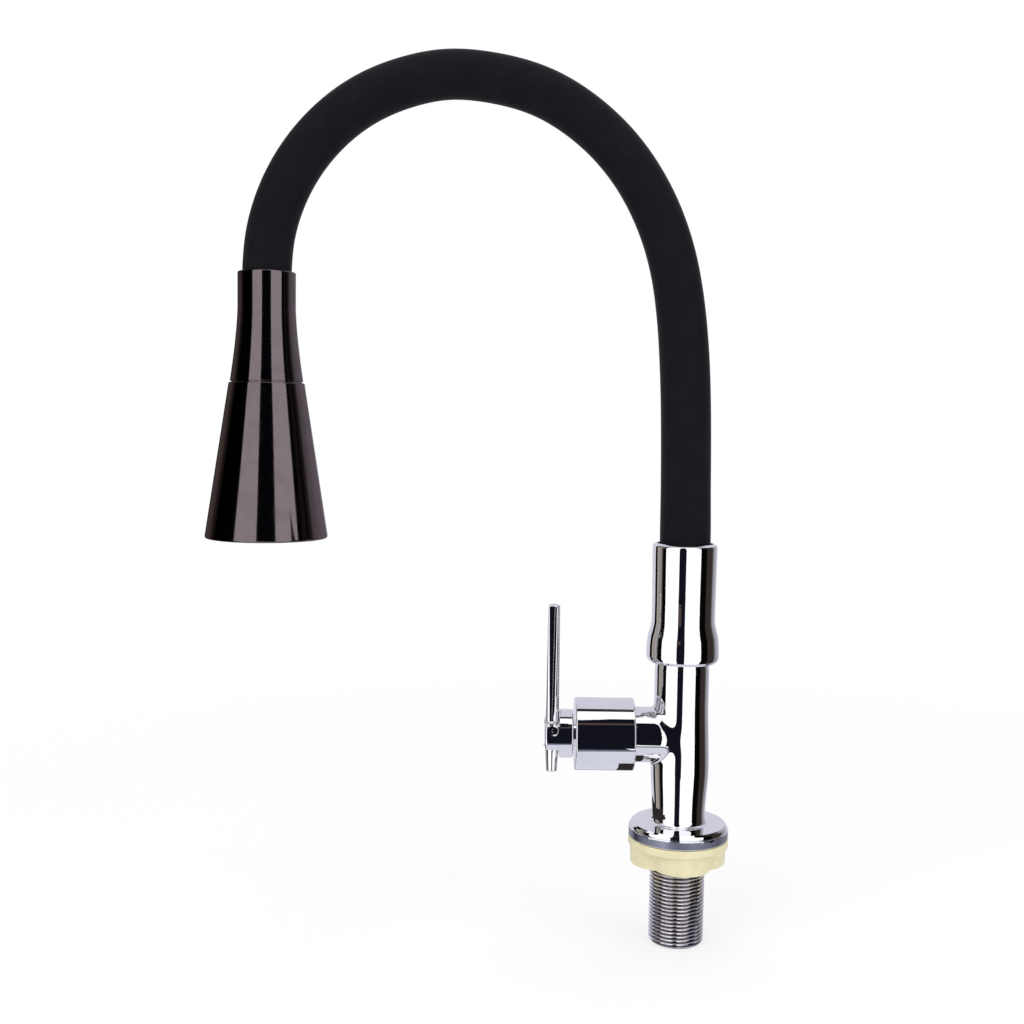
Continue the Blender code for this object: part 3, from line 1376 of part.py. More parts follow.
def make_spray_plates():
    """Carrier plate, nozzle mat, spray face and aerator, stacked in the bell's mouth."""
    plate_radius = FACE_SEAT_RADIUS - MAT_MARGIN
    aerator_hole = AERATOR_RADIUS + SEAT_GAP
    cup_bore = CORE_STEM_RADIUS + RUN_GAP
    cup_top = CARRIER_TOP + CARRIER_CUP_DEPTH
    carrier = turned(
        "carrier_plate",
        [
            (cup_bore + CARRIER_CUP_WALL, cup_top),
            (cup_bore + CARRIER_CUP_WALL, CARRIER_TOP),
            (plate_radius, CARRIER_TOP),
            (plate_radius, CARRIER_BOTTOM),
            (DIVERTER_HOLE_PLACE, CARRIER_BOTTOM),
            (DIVERTER_HOLE_PLACE, CARRIER_TOP),
            (cup_bore, CARRIER_TOP),
            (cup_bore, cup_top),
        ],
        WHITE_PLASTIC,
        head_axis,
        steps=BRANCH_STEPS,
    )
    passages = drill_pattern(
        "carrier_passages",
        (PASSAGE_PLACE,),
        (PASSAGE_COUNT,),
        PASSAGE_RADIUS,
        CARRIER_BOTTOM - OVERRUN,
        CARRIER_TOP + OVERRUN,
    )
    passages.parent = head_axis
    settle(cut(carrier, passages))

    mat = turned(
        "nozzle_mat",
        ring_profile(plate_radius, aerator_hole, MAT_BOTTOM, MAT_TOP),
        BLACK_RUBBER,
        head_axis,
        steps=BRANCH_STEPS,
    )
    nozzles = drill_pattern(
        "nozzle_forms",
        NOZZLE_ROW_RADII,
        NOZZLE_ROW_COUNTS,
        NOZZLE_RADIUS,
        FACE_BOTTOM - NOZZLE_PROUD,
        MAT_BOTTOM + MAT_THICKNESS / 2,
    )
    nozzles.parent = head_axis
    settle(join(mat, nozzles))

    face = turned(
        "spray_face",
        ring_profile(FACE_SEAT_RADIUS - SEAT_GAP, aerator_hole, FACE_BOTTOM, FACE_TOP),
        DARK_PLASTIC,
        head_axis,
        steps=SHOWN_STEPS,
    )
    holes = drill_pattern(
        "face_holes",
        NOZZLE_ROW_RADII,
        NOZZLE_ROW_COUNTS,
        NOZZLE_RADIUS + SEAT_GAP,
        FACE_BOTTOM - OVERRUN,
        FACE_TOP + OVERRUN,
    )
    holes.parent = head_axis
    settle(cut(face, holes))

    bore = AERATOR_RADIUS - AERATOR_WALL
    aerator_bottom = FACE_BOTTOM
    seat = aerator_bottom + AERATOR_LIP
    housing = turned(
        "aerator_housing",
        [
            (AERATOR_RADIUS, MAT_TOP),
            (AERATOR_RADIUS, aerator_bottom),
            (bore - AERATOR_LIP, aerator_bottom),
            (bore - AERATOR_LIP, seat),
            (bore, seat),
            (bore, MAT_TOP),
        ],
        CHROME,
        head_axis,
        steps=HIDDEN_STEPS,
    )
    settle(housing)
    insert_bottom = seat + SEAT_GAP
    insert = turned(
        "aerator_insert",
        [
            (0.0, insert_bottom + AERATOR_INSERT_HEIGHT),
            (bore - SEAT_GAP, insert_bottom + AERATOR_INSERT_HEIGHT),
            (bore - SEAT_GAP, insert_bottom),
            (0.0, insert_bottom),
        ],
        WHITE_PLASTIC,
        head_axis,
        steps=HIDDEN_STEPS,
    )
    settle(insert)


def shade_round_pieces():
    for obj in TAP.objects:
        if obj.type == "MESH":
            obj.data.shade_smooth()
            obj.data.set_sharp_from_angle(angle=SHARP_ANGLE)


make_body_casting()
make_threaded_shank()
make_deck_seal()
make_lock_nut()
make_cartridge()
make_valve_cover()
make_lever_handle()
make_spout_spigot()
make_swivel_collar()
make_hose()
make_ferrules()
make_head_nipple()
make_head_core()
make_upper_shell()
make_spray_bell()
make_spray_plates()
shade_round_pieces()
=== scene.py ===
"""Flexible-spout kitchen tap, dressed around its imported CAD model, from the sink up to the spray."""

import math

import bmesh
import bpy
import numpy as np
from mathutils import Matrix, Vector


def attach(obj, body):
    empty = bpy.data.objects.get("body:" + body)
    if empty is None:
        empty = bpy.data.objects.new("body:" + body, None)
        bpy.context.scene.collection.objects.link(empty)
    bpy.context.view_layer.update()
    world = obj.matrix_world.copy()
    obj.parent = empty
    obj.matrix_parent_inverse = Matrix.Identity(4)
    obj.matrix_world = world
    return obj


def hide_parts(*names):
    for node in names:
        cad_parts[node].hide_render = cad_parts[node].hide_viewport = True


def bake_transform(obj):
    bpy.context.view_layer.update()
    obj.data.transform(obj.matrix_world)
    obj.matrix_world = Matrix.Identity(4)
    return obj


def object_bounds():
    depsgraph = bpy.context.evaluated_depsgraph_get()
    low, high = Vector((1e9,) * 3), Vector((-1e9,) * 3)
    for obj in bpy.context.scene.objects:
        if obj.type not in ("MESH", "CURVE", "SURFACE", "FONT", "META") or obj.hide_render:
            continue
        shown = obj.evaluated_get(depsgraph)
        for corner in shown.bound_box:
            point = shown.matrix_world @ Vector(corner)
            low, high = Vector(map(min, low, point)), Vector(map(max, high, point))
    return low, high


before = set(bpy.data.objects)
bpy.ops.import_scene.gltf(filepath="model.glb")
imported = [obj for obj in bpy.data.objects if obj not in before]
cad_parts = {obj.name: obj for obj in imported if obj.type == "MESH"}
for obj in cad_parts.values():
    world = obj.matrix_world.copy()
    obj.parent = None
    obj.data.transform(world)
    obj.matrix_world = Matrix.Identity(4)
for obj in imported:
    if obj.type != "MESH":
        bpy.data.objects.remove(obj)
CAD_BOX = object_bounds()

# Camera.
# A lens of 44 mm a little over half a metre away, above the lever's height and looking slightly
# down, with the small tilt of a hand-levelled product shot.
MM = 0.001
CAMERA_PLACE = Vector((-82.3, -595.8, 198.8)) * MM
CAMERA_LENS = 44.3
CAMERA_SHIFT = -0.00035
CAMERA_PITCH = math.radians(4.2)
CAMERA_ROLL = math.radians(0.86)

camera = bpy.data.objects.new("camera", bpy.data.cameras.new("camera"))
bpy.context.scene.collection.objects.link(camera)
camera.data.lens = CAMERA_LENS
camera.data.sensor_width = 36.0
camera.data.clip_start = 0.02
camera.data.shift_x = CAMERA_SHIFT
look_down = Matrix.Rotation(math.pi / 2 - CAMERA_PITCH, 4, "X")
camera.matrix_world = Matrix.Translation(CAMERA_PLACE) @ look_down @ Matrix.Rotation(CAMERA_ROLL, 4, "Z")
bpy.context.scene.camera = camera
bpy.context.scene.view_settings.view_transform = "Standard"


# Room.
# A pale table in a white room. Large lamps give plain soft light. Boards that only gloss sees stand
# round the tap as a photographer's soft boxes and dark curtains do, and draw the bands in the chrome.
class Shade:
    """A socket of a finish. Arithmetic on it adds Math nodes, and node() adds any other kind."""

    def __init__(self, tree, socket=None):
        self.tree = tree
        self.socket = socket

    def node(self, kind, settings=None, inputs=None):
        made = self.tree.nodes.new(kind)
        for name, value in (settings or {}).items():
            setattr(made, name, value)
        for name, value in (inputs or {}).items():
            if isinstance(value, Shade):
                self.tree.links.new(value.socket, made.inputs[name])
            else:
                wide = isinstance(value, tuple) and len(made.inputs[name].default_value) > len(value)
                made.inputs[name].default_value = (*value, 1.0) if wide else value
        return Shade(self.tree, made.outputs[0] if made.outputs else None)

    def out(self, name):
        return Shade(self.tree, self.socket.node.outputs[name])

    def maths(self, operation, *values):
        return self.node("ShaderNodeMath", {"operation": operation}, dict(enumerate(values)))

    def __add__(self, other):
        return self.maths("ADD", self, other)

    __radd__ = __add__

    def __mul__(self, other):
        return self.maths("MULTIPLY", self, other)

    __rmul__ = __mul__

    def __rsub__(self, other):
        return self.maths("SUBTRACT", other, self)

    def between(self, low, high):
        """0 below low, 1 above high, and smooth in the range between."""
        return self.node(
            "ShaderNodeMapRange",
            {"interpolation_type": "SMOOTHSTEP"},
            {"Value": self, "From Min": low, "From Max": high},
        )

    def mix(self, colour, other):
        """From one colour to another, with this value as the share of the second."""
        made = self.node("ShaderNodeMix", {"data_type": "RGBA"}, {0: self, 6: colour, 7: other})
        return Shade(self.tree, made.socket.node.outputs[2])


def seen_share(tree):
    """1 for what the camera, a reflection or glass sees, and 0 for what lights the tap."""
    ray = Shade(tree).node("ShaderNodeLightPath")
    return ray.out("Is Camera Ray") + ray.out("Is Glossy Ray") + ray.out("Is Transmission Ray")


world = bpy.data.worlds.new("white_room")
bpy.context.scene.world = world
world.use_nodes = True
world.node_tree.nodes.clear()
ROOM_WHITE = (1.0, 1.0, 1.0)
ROOM_LIGHT = 0.62
strength = seen_share(world.node_tree) * (1 - ROOM_LIGHT) + ROOM_LIGHT
glow = Shade(world.node_tree).node("ShaderNodeBackground", {}, {"Color": ROOM_WHITE, "Strength": strength})
Shade(world.node_tree).node("ShaderNodeOutputWorld", {}, {"Surface": glow})

FLOOR_HEIGHT = CAD_BOX[0][2] - 0.2 * MM
FLOOR_HALF = 3.0
FLOOR_COLOUR = (0.90, 0.90, 0.905)
SHADOW_SHARE = 0.32
SHADOW_NEAR = 0.25
SHADOW_FAR = 0.75


def add_mesh(name, points, faces):
    mesh = bpy.data.meshes.new(name)
    mesh.from_pydata([tuple(point) for point in points], [], faces)
    mesh.update()
    obj = bpy.data.objects.new(name, mesh)
    bpy.context.scene.collection.objects.link(obj)
    return obj


def new_finish(name):
    material = bpy.data.materials.new(name)
    material.use_nodes = True
    material.node_tree.nodes.clear()
    return material, Shade(material.node_tree)


corners = ((-1, -1), (1, -1), (1, 1), (-1, 1))
corners = [(x * FLOOR_HALF, y * FLOOR_HALF, FLOOR_HEIGHT) for x, y in corners]
floor = add_mesh("floor", corners, [(0, 1, 2, 3)])
floor_finish, tree = new_finish("pale_table")
plain = tree.node("ShaderNodeBsdfDiffuse", {}, {"Color": FLOOR_COLOUR})
glowing = tree.node("ShaderNodeEmission", {}, {"Color": ROOM_WHITE, "Strength": 1.0})
place = tree.node("ShaderNodeTexCoord").out("Object")
distance = tree.node("ShaderNodeVectorMath", {"operation": "LENGTH"}, {0: place}).out("Value")
share = (1 - distance.between(SHADOW_NEAR, SHADOW_FAR)) * SHADOW_SHARE
shown = tree.node("ShaderNodeMixShader", {}, {0: share, 1: glowing, 2: plain})
surface = tree.node("ShaderNodeMixShader", {}, {0: seen_share(tree.tree), 1: plain, 2: shown})
tree.node("ShaderNodeOutputMaterial", {}, {"Surface": surface})
floor.data.materials.append(floor_finish)


def gloss_boards(name, points, faces, colour, far_colour=None, shares=None, from_above=False):
    """Glowing boards that only reflections see, shading by each point's share between two colours."""
    boards = add_mesh(name, points, faces)
    across = boards.data.uv_layers.new(name="across")
    for loop in boards.data.loops:
        across.data[loop.index].uv = (shares[loop.vertex_index] if shares else 0.0, 0.0)
    finish, shade = new_finish(name)
    share = shade.node("ShaderNodeSeparateXYZ", {}, {0: shade.node("ShaderNodeUVMap", {"uv_map": "across"})})
    tint = share.mix(colour, far_colour or colour)
    surface = shade.node("ShaderNodeEmission", {}, {"Color": tint, "Strength": 1.0})
    if from_above:
        below = shade.node("ShaderNodeNewGeometry").out("Backfacing")
        clear = shade.node("ShaderNodeBsdfTransparent")
        surface = shade.node("ShaderNodeMixShader", {}, {0: below, 1: surface, 2: clear})
    shade.node("ShaderNodeOutputMaterial", {}, {"Surface": surface})
    boards.data.materials.append(finish)
    boards.visible_camera = False
    boards.visible_diffuse = False
    boards.visible_transmission = False
    boards.visible_shadow = False


BOARD_FOOT = FLOOR_HEIGHT + 0.1 * MM
WEDGE_NEAR = 0.145
WEDGE_STARTS = (
    (-180, 0.20), (-150, 0.20), (-125, 0.158), (-90, 0.158), (-75, WEDGE_NEAR), (75, WEDGE_NEAR),
    (90, 0.158), (125, 0.158), (150, 0.20), (180, 0.20),
)
WEDGE_STEPS = 8
BOARD_TOP = 0.78
REAR_TOP = 1.1
OVERHEAD = 0.64
RING_STEPS = 96
RING_OVERLAP = 0.001
RING_DROP = 0.00002


def wedge_start(turn):
    """How far from the axis the boards' colours start on the table, farther out behind."""
    return float(np.interp(math.degrees(turn), *zip(*WEDGE_STARTS)))


def sector(name, first, last, colour, far_colour=None, top=BOARD_TOP):
    """An upright board between two places in plan, and its colour laid on the table in front of it."""
    turns = [math.atan2(x, -y) for x, y in (first, last)]
    points = [(*first, BOARD_FOOT), (*last, BOARD_FOOT), (*last, top), (*first, top)]
    shares = [0.0, 1.0, 1.0, 0.0]
    for step in range(WEDGE_STEPS + 1):
        share = 1 - step / WEDGE_STEPS
        turn = turns[0] + (turns[1] - turns[0]) * share
        start = wedge_start(turn)
        points.append((start * math.sin(turn), -start * math.cos(turn), BOARD_FOOT))
        shares.append(share)
    faces = [(0, 1, 2, 3), (0, 1, *range(4, len(points)))]
    gloss_boards(name, points, faces, colour, far_colour, shares)


def round_turns(count):
    """The angles of a circle's evenly spaced points."""
    return [2 * math.pi * step / count for step in range(count)]


def ring_faces(rows, count, closed=False, turned_over=False):
    """Quads from ring to ring of one count, and from the last ring back to the first if closed."""
    faces = []
    for row in range(rows if closed else rows - 1):
        first, second = row * count, (row + 1) % rows * count
        for step in range(count):
            after = (step + 1) % count
            quad = (first + step, first + after, second + after, second + step)
            faces.append((quad[0], *quad[:0:-1]) if turned_over else quad)
    return faces


def floor_ring(name, inner, outer, colour, sheen=None):
    """A flat ring on the table; without an outer radius it reaches the boards' colours."""
    points, shares = [], []
    for radius in (inner, outer):
        for step in range(RING_STEPS):
            turn = math.pi * (2 * step / RING_STEPS - 1)
            reach = radius or wedge_start(turn) + RING_OVERLAP
            points.append((reach * math.sin(turn), -reach * math.cos(turn), BOARD_FOOT - RING_DROP))
            shares.append(float(np.interp(math.degrees(turn), *zip(*SHEEN_ROUND))))
    gloss_boards(name, points, ring_faces(2, RING_STEPS), colour, sheen, shares)


def upright(name, plan, colour):
    """Boards that stand from place to place in plan, each place with its own foot and top."""
    points = [(x, y, foot) for x, y, foot, top in plan] + [(x, y, top) for x, y, foot, top in plan]
    count = len(plan)
    faces = [(step, step + 1, count + step + 1, count + step) for step in range(count - 1)]
    gloss_boards(name, points, faces, colour)


def level(name, plan, height, colour, from_above=False):
    """A board that lies level, with its corners in plan."""
    points = [(x, y, height) for x, y in plan]
    gloss_boards(name, points, [tuple(range(len(plan)))], colour, from_above=from_above)


BOX_WHITE = (1.25, 1.25, 1.27)
CURTAIN_NAVY = (0.0065, 0.0072, 0.0135)
CURTAIN_BLACK = (0.002, 0.002, 0.002)
RAIL_BROWN = (0.085, 0.060, 0.052)
TAUPE = (0.44, 0.40, 0.36)
TAUPE_DEEP = (0.27, 0.24, 0.21)
TAUPE_EDGE = (0.14, 0.12, 0.105)
BROWN = (0.038, 0.030, 0.027)
BROWN_PALE = (0.105, 0.092, 0.088)
UNDER_BROWN = (0.030, 0.025, 0.024)
BAR_NAVY = (0.03, 0.03, 0.05)
CARD_NAVY = (0.0065, 0.0068, 0.0125)
LILAC = (0.70, 0.69, 0.78)
LILAC_DEEP = (0.28, 0.27, 0.29)
TABLE_LILAC = (0.74, 0.74, 0.83)
TABLE_SLATE = (0.010, 0.010, 0.015)
TABLE_SHEEN = (0.34, 0.36, 0.47)
# The table's slate ring takes more or less sheen as it goes round, in degrees from the front
SHEEN_ROUND = (
    (-180, 0.8), (-135, 0.6), (-118, 0.04), (-109, 0.20), (-90, 0.45), (-60, 0.70), (-39, 1.0),
    (-22, 0.55), (-8, 0.42), (10, 0.50), (27, 0.64), (60, 0.50), (91, 0.28), (130, 0.6), (180, 0.8),
)
LEFT_BOX_END = (-0.285, -0.611)
RIGHT_BOX_START = (-0.0234, -0.345)
sector("left_soft_box", (-0.261, -0.068), LEFT_BOX_END, BOX_WHITE)
sector("right_soft_box", RIGHT_BOX_START, (0.160, -0.134), BOX_WHITE)
sector("left_black_flag", (-0.2855, -0.0083), (-0.261, -0.068), CURTAIN_BLACK)
sector("left_deep_wall", (-0.300, 0.027), (-0.2855, -0.0083), TAUPE_EDGE, CURTAIN_BLACK)
sector("right_black_flag", (0.160, -0.134), (0.438, -0.105), CURTAIN_BLACK)
sector("left_taupe_wall", (-0.397, 0.225), (-0.300, 0.027), TAUPE, TAUPE_DEEP)
sector("left_thin_flag", (-0.366, 0.349), (-0.397, 0.225), CURTAIN_BLACK)
sector("right_brown_wall", (0.438, -0.105), (0.591, 0.104), BROWN)
sector("right_pale_brown_wall", (0.591, 0.104), (0.649, 0.262), BROWN, BROWN_PALE)
sector("rear_corner_right", (0.649, 0.262), (0.550, 0.950), LILAC_DEEP, LILAC, top=REAR_TOP)
sector("rear_wall_right", (0.550, 0.950), (0.0001, 0.950), LILAC, top=REAR_TOP)
sector("rear_wall_left", (-0.0001, 0.950), (-0.990, 0.950), LILAC, top=REAR_TOP)
TABLE_CENTRE = 0.120
AXIS_GAP = 0.0005
floor_ring("table_centre", AXIS_GAP, TABLE_CENTRE, TABLE_LILAC)
floor_ring("table_ring", TABLE_CENTRE, None, TABLE_SLATE, TABLE_SHEEN)
CURTAIN_FRONT = -1.30
CURTAIN_TOP = 2.3
curtain = [(x, CURTAIN_FRONT) for x in (-0.64, 0.5)]
upright("front_curtain", [(*end, BOARD_FOOT, CURTAIN_TOP) for end in curtain], CURTAIN_NAVY)
FRONT_TURN = -3.9
FRONT_SPAN = 21.1
turns = [math.radians(FRONT_TURN - FRONT_SPAN * step / WEDGE_STEPS) for step in range(WEDGE_STEPS + 1)]
front_plan = [(WEDGE_NEAR * math.sin(turn), -WEDGE_NEAR * math.cos(turn)) for turn in turns]
front_plan += [LEFT_BOX_END, *curtain, RIGHT_BOX_START]
level("front_table", front_plan, BOARD_FOOT, CURTAIN_NAVY)
RAIL_FRONT = CURTAIN_FRONT + 0.02
RAIL_BOTTOM, RAIL_TOP = 0.986, 1.20
upright("curtain_rail", [(x, RAIL_FRONT, RAIL_BOTTOM, RAIL_TOP) for x in (-0.6, 0.45)], RAIL_BROWN)
LEFT, RIGHT = -1.1, 0.9
CEILINGS = (
    ("overhead_soft_box", -0.342, -0.04, BOX_WHITE),
    ("overhead_bar", -0.04, 0.07, BAR_NAVY),
    ("rear_ceiling", 0.07, 1.1, LILAC),
)
for name, near, far, colour in CEILINGS:
    level(name, [(LEFT, near), (RIGHT, near), (RIGHT, far), (LEFT, far)], OVERHEAD, colour)

# A folded dark card close in front keeps the soft box off the branch and the cover. Its second half
# stands edge on to the column. A brown strip across it carries the rail's line on.
CARD_PLAN = ((-2.5, -60.0, 15.0, 142.5), (-27.0, -60.0, 19.0, 142.5), (-48.0, -107.0, -1.9, 190.0))
STRIP_PLAN = ((-15.0, -59.7, 96.0, 106.0), (-27.3, -59.7, 96.0, 106.0), (-48.4, -106.8, 134.0, 155.0))
for name, plan, colour in (("near_card", CARD_PLAN, CARD_NAVY), ("near_strip", STRIP_PLAN, RAIL_BROWN)):
    upright(name, [[value * MM for value in place] for place in plan], colour)
# A small brown card lies level under the branch, and shows only from above
UNDER_HEIGHT = 8.0
UNDER = ((-28.0, -12.5), (-21.0, -12.5), (-21.0, -14.5), (-15.0, -14.5), (-15.0, 30.0), (-28.0, 30.0))
under_plan = [(x * MM, y * MM) for x, y in UNDER]
level("under_card", under_plan, UNDER_HEIGHT * MM, UNDER_BROWN, from_above=True)

LAMPS = (
    ("key_lamp", (-0.9, -1.1, 1.3), 1.1, 11.0),
    ("fill_lamp", (1.1, -0.9, 0.9), 1.1, 7.0),
    ("top_lamp", (-0.1, 0.2, 1.7), 1.4, 9.0),
)
AIM = Vector((-0.08, 0.0, 0.13))
for name, place, size, power in LAMPS:
    lamp = bpy.data.lights.new(name, "AREA")
    lamp.size = size
    lamp.energy = power
    lamp_object = bpy.data.objects.new(name, lamp)
    bpy.context.scene.collection.objects.link(lamp_object)
    lamp_object.location = place
    lamp_object.rotation_euler = (AIM - Vector(place)).to_track_quat("-Z", "Y").to_euler()
    lamp_object.visible_glossy = False

# Casting.
# Column, flange and valve branch are one hot-pressed brass body, turned, polished and chromed. The
# branch runs into the column with a small cove, and a larger one meets the flange.
STEPS = 144
SUPPORT = 0.2 * MM
EDGE_SHARE = 0.48
BEND_STEP = math.radians(14)
AXIS_WIDTH = 1e-7


def rounded(corners, closed):
    """Points of a turned outline. A corner's third number is its radius, in millimetres."""
    points = []
    count = len(corners)
    for index, corner in enumerate(corners):
        here = Vector(corner[:2]) * MM
        edge = corner[2] * MM if len(corner) > 2 else 0.0
        if edge == 0 or (not closed and index in (0, count - 1)):
            points.append(here)
            continue
        before = Vector(corners[index - 1][:2]) * MM - here
        after = Vector(corners[(index + 1) % count][:2]) * MM - here
        half = before.angle(after) / 2
        edge = min(edge, EDGE_SHARE * math.tan(half) * min(before.length, after.length))
        run = edge / math.tan(half)
        centre = here + (before.normalized() + after.normalized()).normalized() * edge / math.sin(half)
        start = here + before.normalized() * run - centre
        end = here + after.normalized() * run - centre
        turn = start.angle_signed(end)
        bends = max(3, math.ceil(abs(turn) / BEND_STEP))
        for bend in range(bends + 1):
            angle = -turn * bend / bends
            cos, sin = math.cos(angle), math.sin(angle)
            points.append(centre + Vector((start.x * cos - start.y * sin, start.x * sin + start.y * cos)))
    supported = []
    for index, here in enumerate(points):
        supported.append(here)
        if index == len(points) - 1 and not closed:
            break
        step = points[(index + 1) % len(points)] - here
        if step.length > 5 * SUPPORT:
            supported += [here + step.normalized() * SUPPORT, here + step - step.normalized() * SUPPORT]
    return [(max(point.x, 0.0), point.y) for point in supported]


def lathe(name, corners, place=(0.0, 0.0, 0.0), sideways=False, steps=STEPS):
    """A turned piece from the outline's corners, down the outside from the top and back up any bore."""
    closed = corners[0][0] > 0 or corners[-1][0] > 0
    outline = rounded(corners, closed)
    points, rings = [], []
    for radius, height in outline:
        count = 1 if radius < AXIS_WIDTH else steps
        rings.append([len(points) + step % count for step in range(steps)])
        for turn in round_turns(steps)[:count]:
            x, y = radius * math.cos(turn), radius * math.sin(turn)
            points.append((-height, y, x) if sideways else (x, y, height))
    faces = []
    pairs = list(zip(rings, rings[1:])) + ([(rings[-1], rings[0])] if closed else [])
    for upper, lower in pairs:
        for step in range(steps):
            after = (step + 1) % steps
            quad = (upper[step], lower[step], lower[after], upper[after])
            faces.append(tuple(dict.fromkeys(quad)))
    obj = add_mesh(name, [Vector(point) + Vector(place) * MM for point in points], faces)
    smooth(obj)
    return obj


def smooth(obj, angle=34):
    obj.data.shade_smooth()
    obj.data.set_sharp_from_angle(angle=math.radians(angle))


def dress(piece, body, slot, finish, *nodes):
    """The piece rides on its body, takes its finish, and stands for the CAD nodes named."""
    piece.data.materials.clear()
    piece.data.materials.append(finish)
    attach(piece, body)
    if nodes:
        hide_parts(*nodes)


def surface_of(shade, inputs):
    """A Principled surface with these sockets, as the finish's output."""
    made = shade.node("ShaderNodeBsdfPrincipled", {}, inputs)
    shade.node("ShaderNodeOutputMaterial", {}, {"Surface": made})


def noise(shade, size, detail, stretch=(1.0, 1.0, 1.0)):
    """Noise from 0 to 1 whose features are about this many millimetres across."""
    place = shade.node("ShaderNodeTexCoord").out("Object")
    scaled = shade.node("ShaderNodeMapping", {}, {"Vector": place, "Scale": tuple(1 / s for s in stretch)})
    inputs = {"Vector": scaled, "Scale": 1 / (size * MM), "Detail": detail, "Roughness": 0.55}
    return shade.node("ShaderNodeTexNoise", {}, inputs)


def bump(shade, height, depth):
    """Relief of this many millimetres, for a height from 0 to 1."""
    return shade.node("ShaderNodeBump", {}, {"Height": height, "Distance": depth * MM, "Strength": 1.0})


# Bright plate has a faint ripple from the polishing, wiped haze, and pin specks
CHROME, shade = new_finish("polished_chrome")
CHROME_COLOUR = (0.86, 0.86, 0.885)
CHROME_DULL = (0.80, 0.80, 0.825)
haze = noise(shade, 9.0, 5.0).between(0.42, 0.72)
wiped = noise(shade, 3.2, 6.0, stretch=(1.0, 1.0, 6.0)).between(0.5, 0.8)
specks = noise(shade, 0.22, 1.0).between(0.80, 0.86)
surface_of(shade, {
    "Base Color": (haze * 0.6 + specks * 0.4).mix(CHROME_COLOUR, CHROME_DULL),
    "Metallic": 1.0,
    "Roughness": 0.030 + haze * 0.022 + wiped * 0.016 + specks * 0.10,
    "Normal": bump(shade, noise(shade, 5.5, 2.0), 0.0088),
})

COLUMN_RADIUS = 12.7
BRANCH_RADIUS = 13.1
BRANCH_SIDE = 12.42
BRANCH_INNER = 12.7
BRANCH_TAPER = 12.0
COVE = 3.0
BLEND = 3.2
BRANCH_TAIL = 9
SWELL = 1.15
SWELL_START = 11.0
SWELL_RISE = 22.0
WAIST_SWELL = 0.25
WAIST_START = 33.0
WAIST_FALL = 33.0
WAIST_END = 81.0
WAIST_STEP = 2.5
VALVE_HEIGHT = 49.0
PATCH_BOTTOM = 27.0
PATCH_TOP = 71.0
COLUMN_STEPS = 96
SIDE_STEPS = 36
PATCH_ROWS = 34
COVE_ROWS = 12
JOIN_STEPS = 2 * (COLUMN_STEPS + SIDE_STEPS)
BRANCH_SHARES = (0.04, *(step / 22 for step in range(2, 22)), 0.98, 1.0)
BRANCH_END = 23.1
SKIN_PASSES = 12
# The step out to the valve's socket, its rim, and the bore back in to the seat: how far out, radius
SOCKET = ((23.1, 15.2), (23.3, 15.2), (42.0, 15.2), (42.1, 15.1), (42.1, 13.0), (25.2, 12.9), (25.1, 12.8))


def eased(share):
    """A share from 0 to 1 that starts and ends level."""
    share = np.clip(share, 0.0, 1.0)
    return share * share * (3 - 2 * share)


def column_radius(height):
    """The cast column swells under the branch and is straight in the collar and at the flange."""
    swell = SWELL * eased((height - SWELL_START) / SWELL_RISE)
    swell = swell - (SWELL - WAIST_SWELL) * eased((height - WAIST_START) / WAIST_FALL)
    return COLUMN_RADIUS + swell - WAIST_SWELL * eased((height - WAIST_END) / WAIST_STEP)


def casting_depth(points):
    """How far points, in millimetres, lie outside the column and branch where they run together."""
    x, y, z = points[:, 0], points[:, 1], points[:, 2]
    column = np.hypot(x, y) - column_radius(z)
    reach = BRANCH_INNER + (BRANCH_RADIUS - BRANCH_INNER) * eased(-x / BRANCH_TAPER)
    branch = np.sqrt(y**2 + (z - VALVE_HEIGHT) ** 2 + BRANCH_TAIL * np.maximum(x, 0.0) ** 2) - reach
    near = np.maximum(BLEND - np.abs(column - branch), 0.0) / BLEND
    return np.minimum(column, branch) - near**3 * BLEND / 6


def casting_slope(points):
    """The direction in which the casting's depth grows, as vectors."""
    step = 0.01
    moves = step * np.eye(3)
    slopes = [casting_depth(points + move) - casting_depth(points - move) for move in moves]
    return np.stack(slopes, axis=1) / (2 * step)


def branch_ring(out, radius):
    """A ring round the branch's axis, this far out from the column's."""
    turns = round_turns(JOIN_STEPS)
    return [(-out, radius * math.sin(turn), VALVE_HEIGHT + radius * math.cos(turn)) for turn in turns]


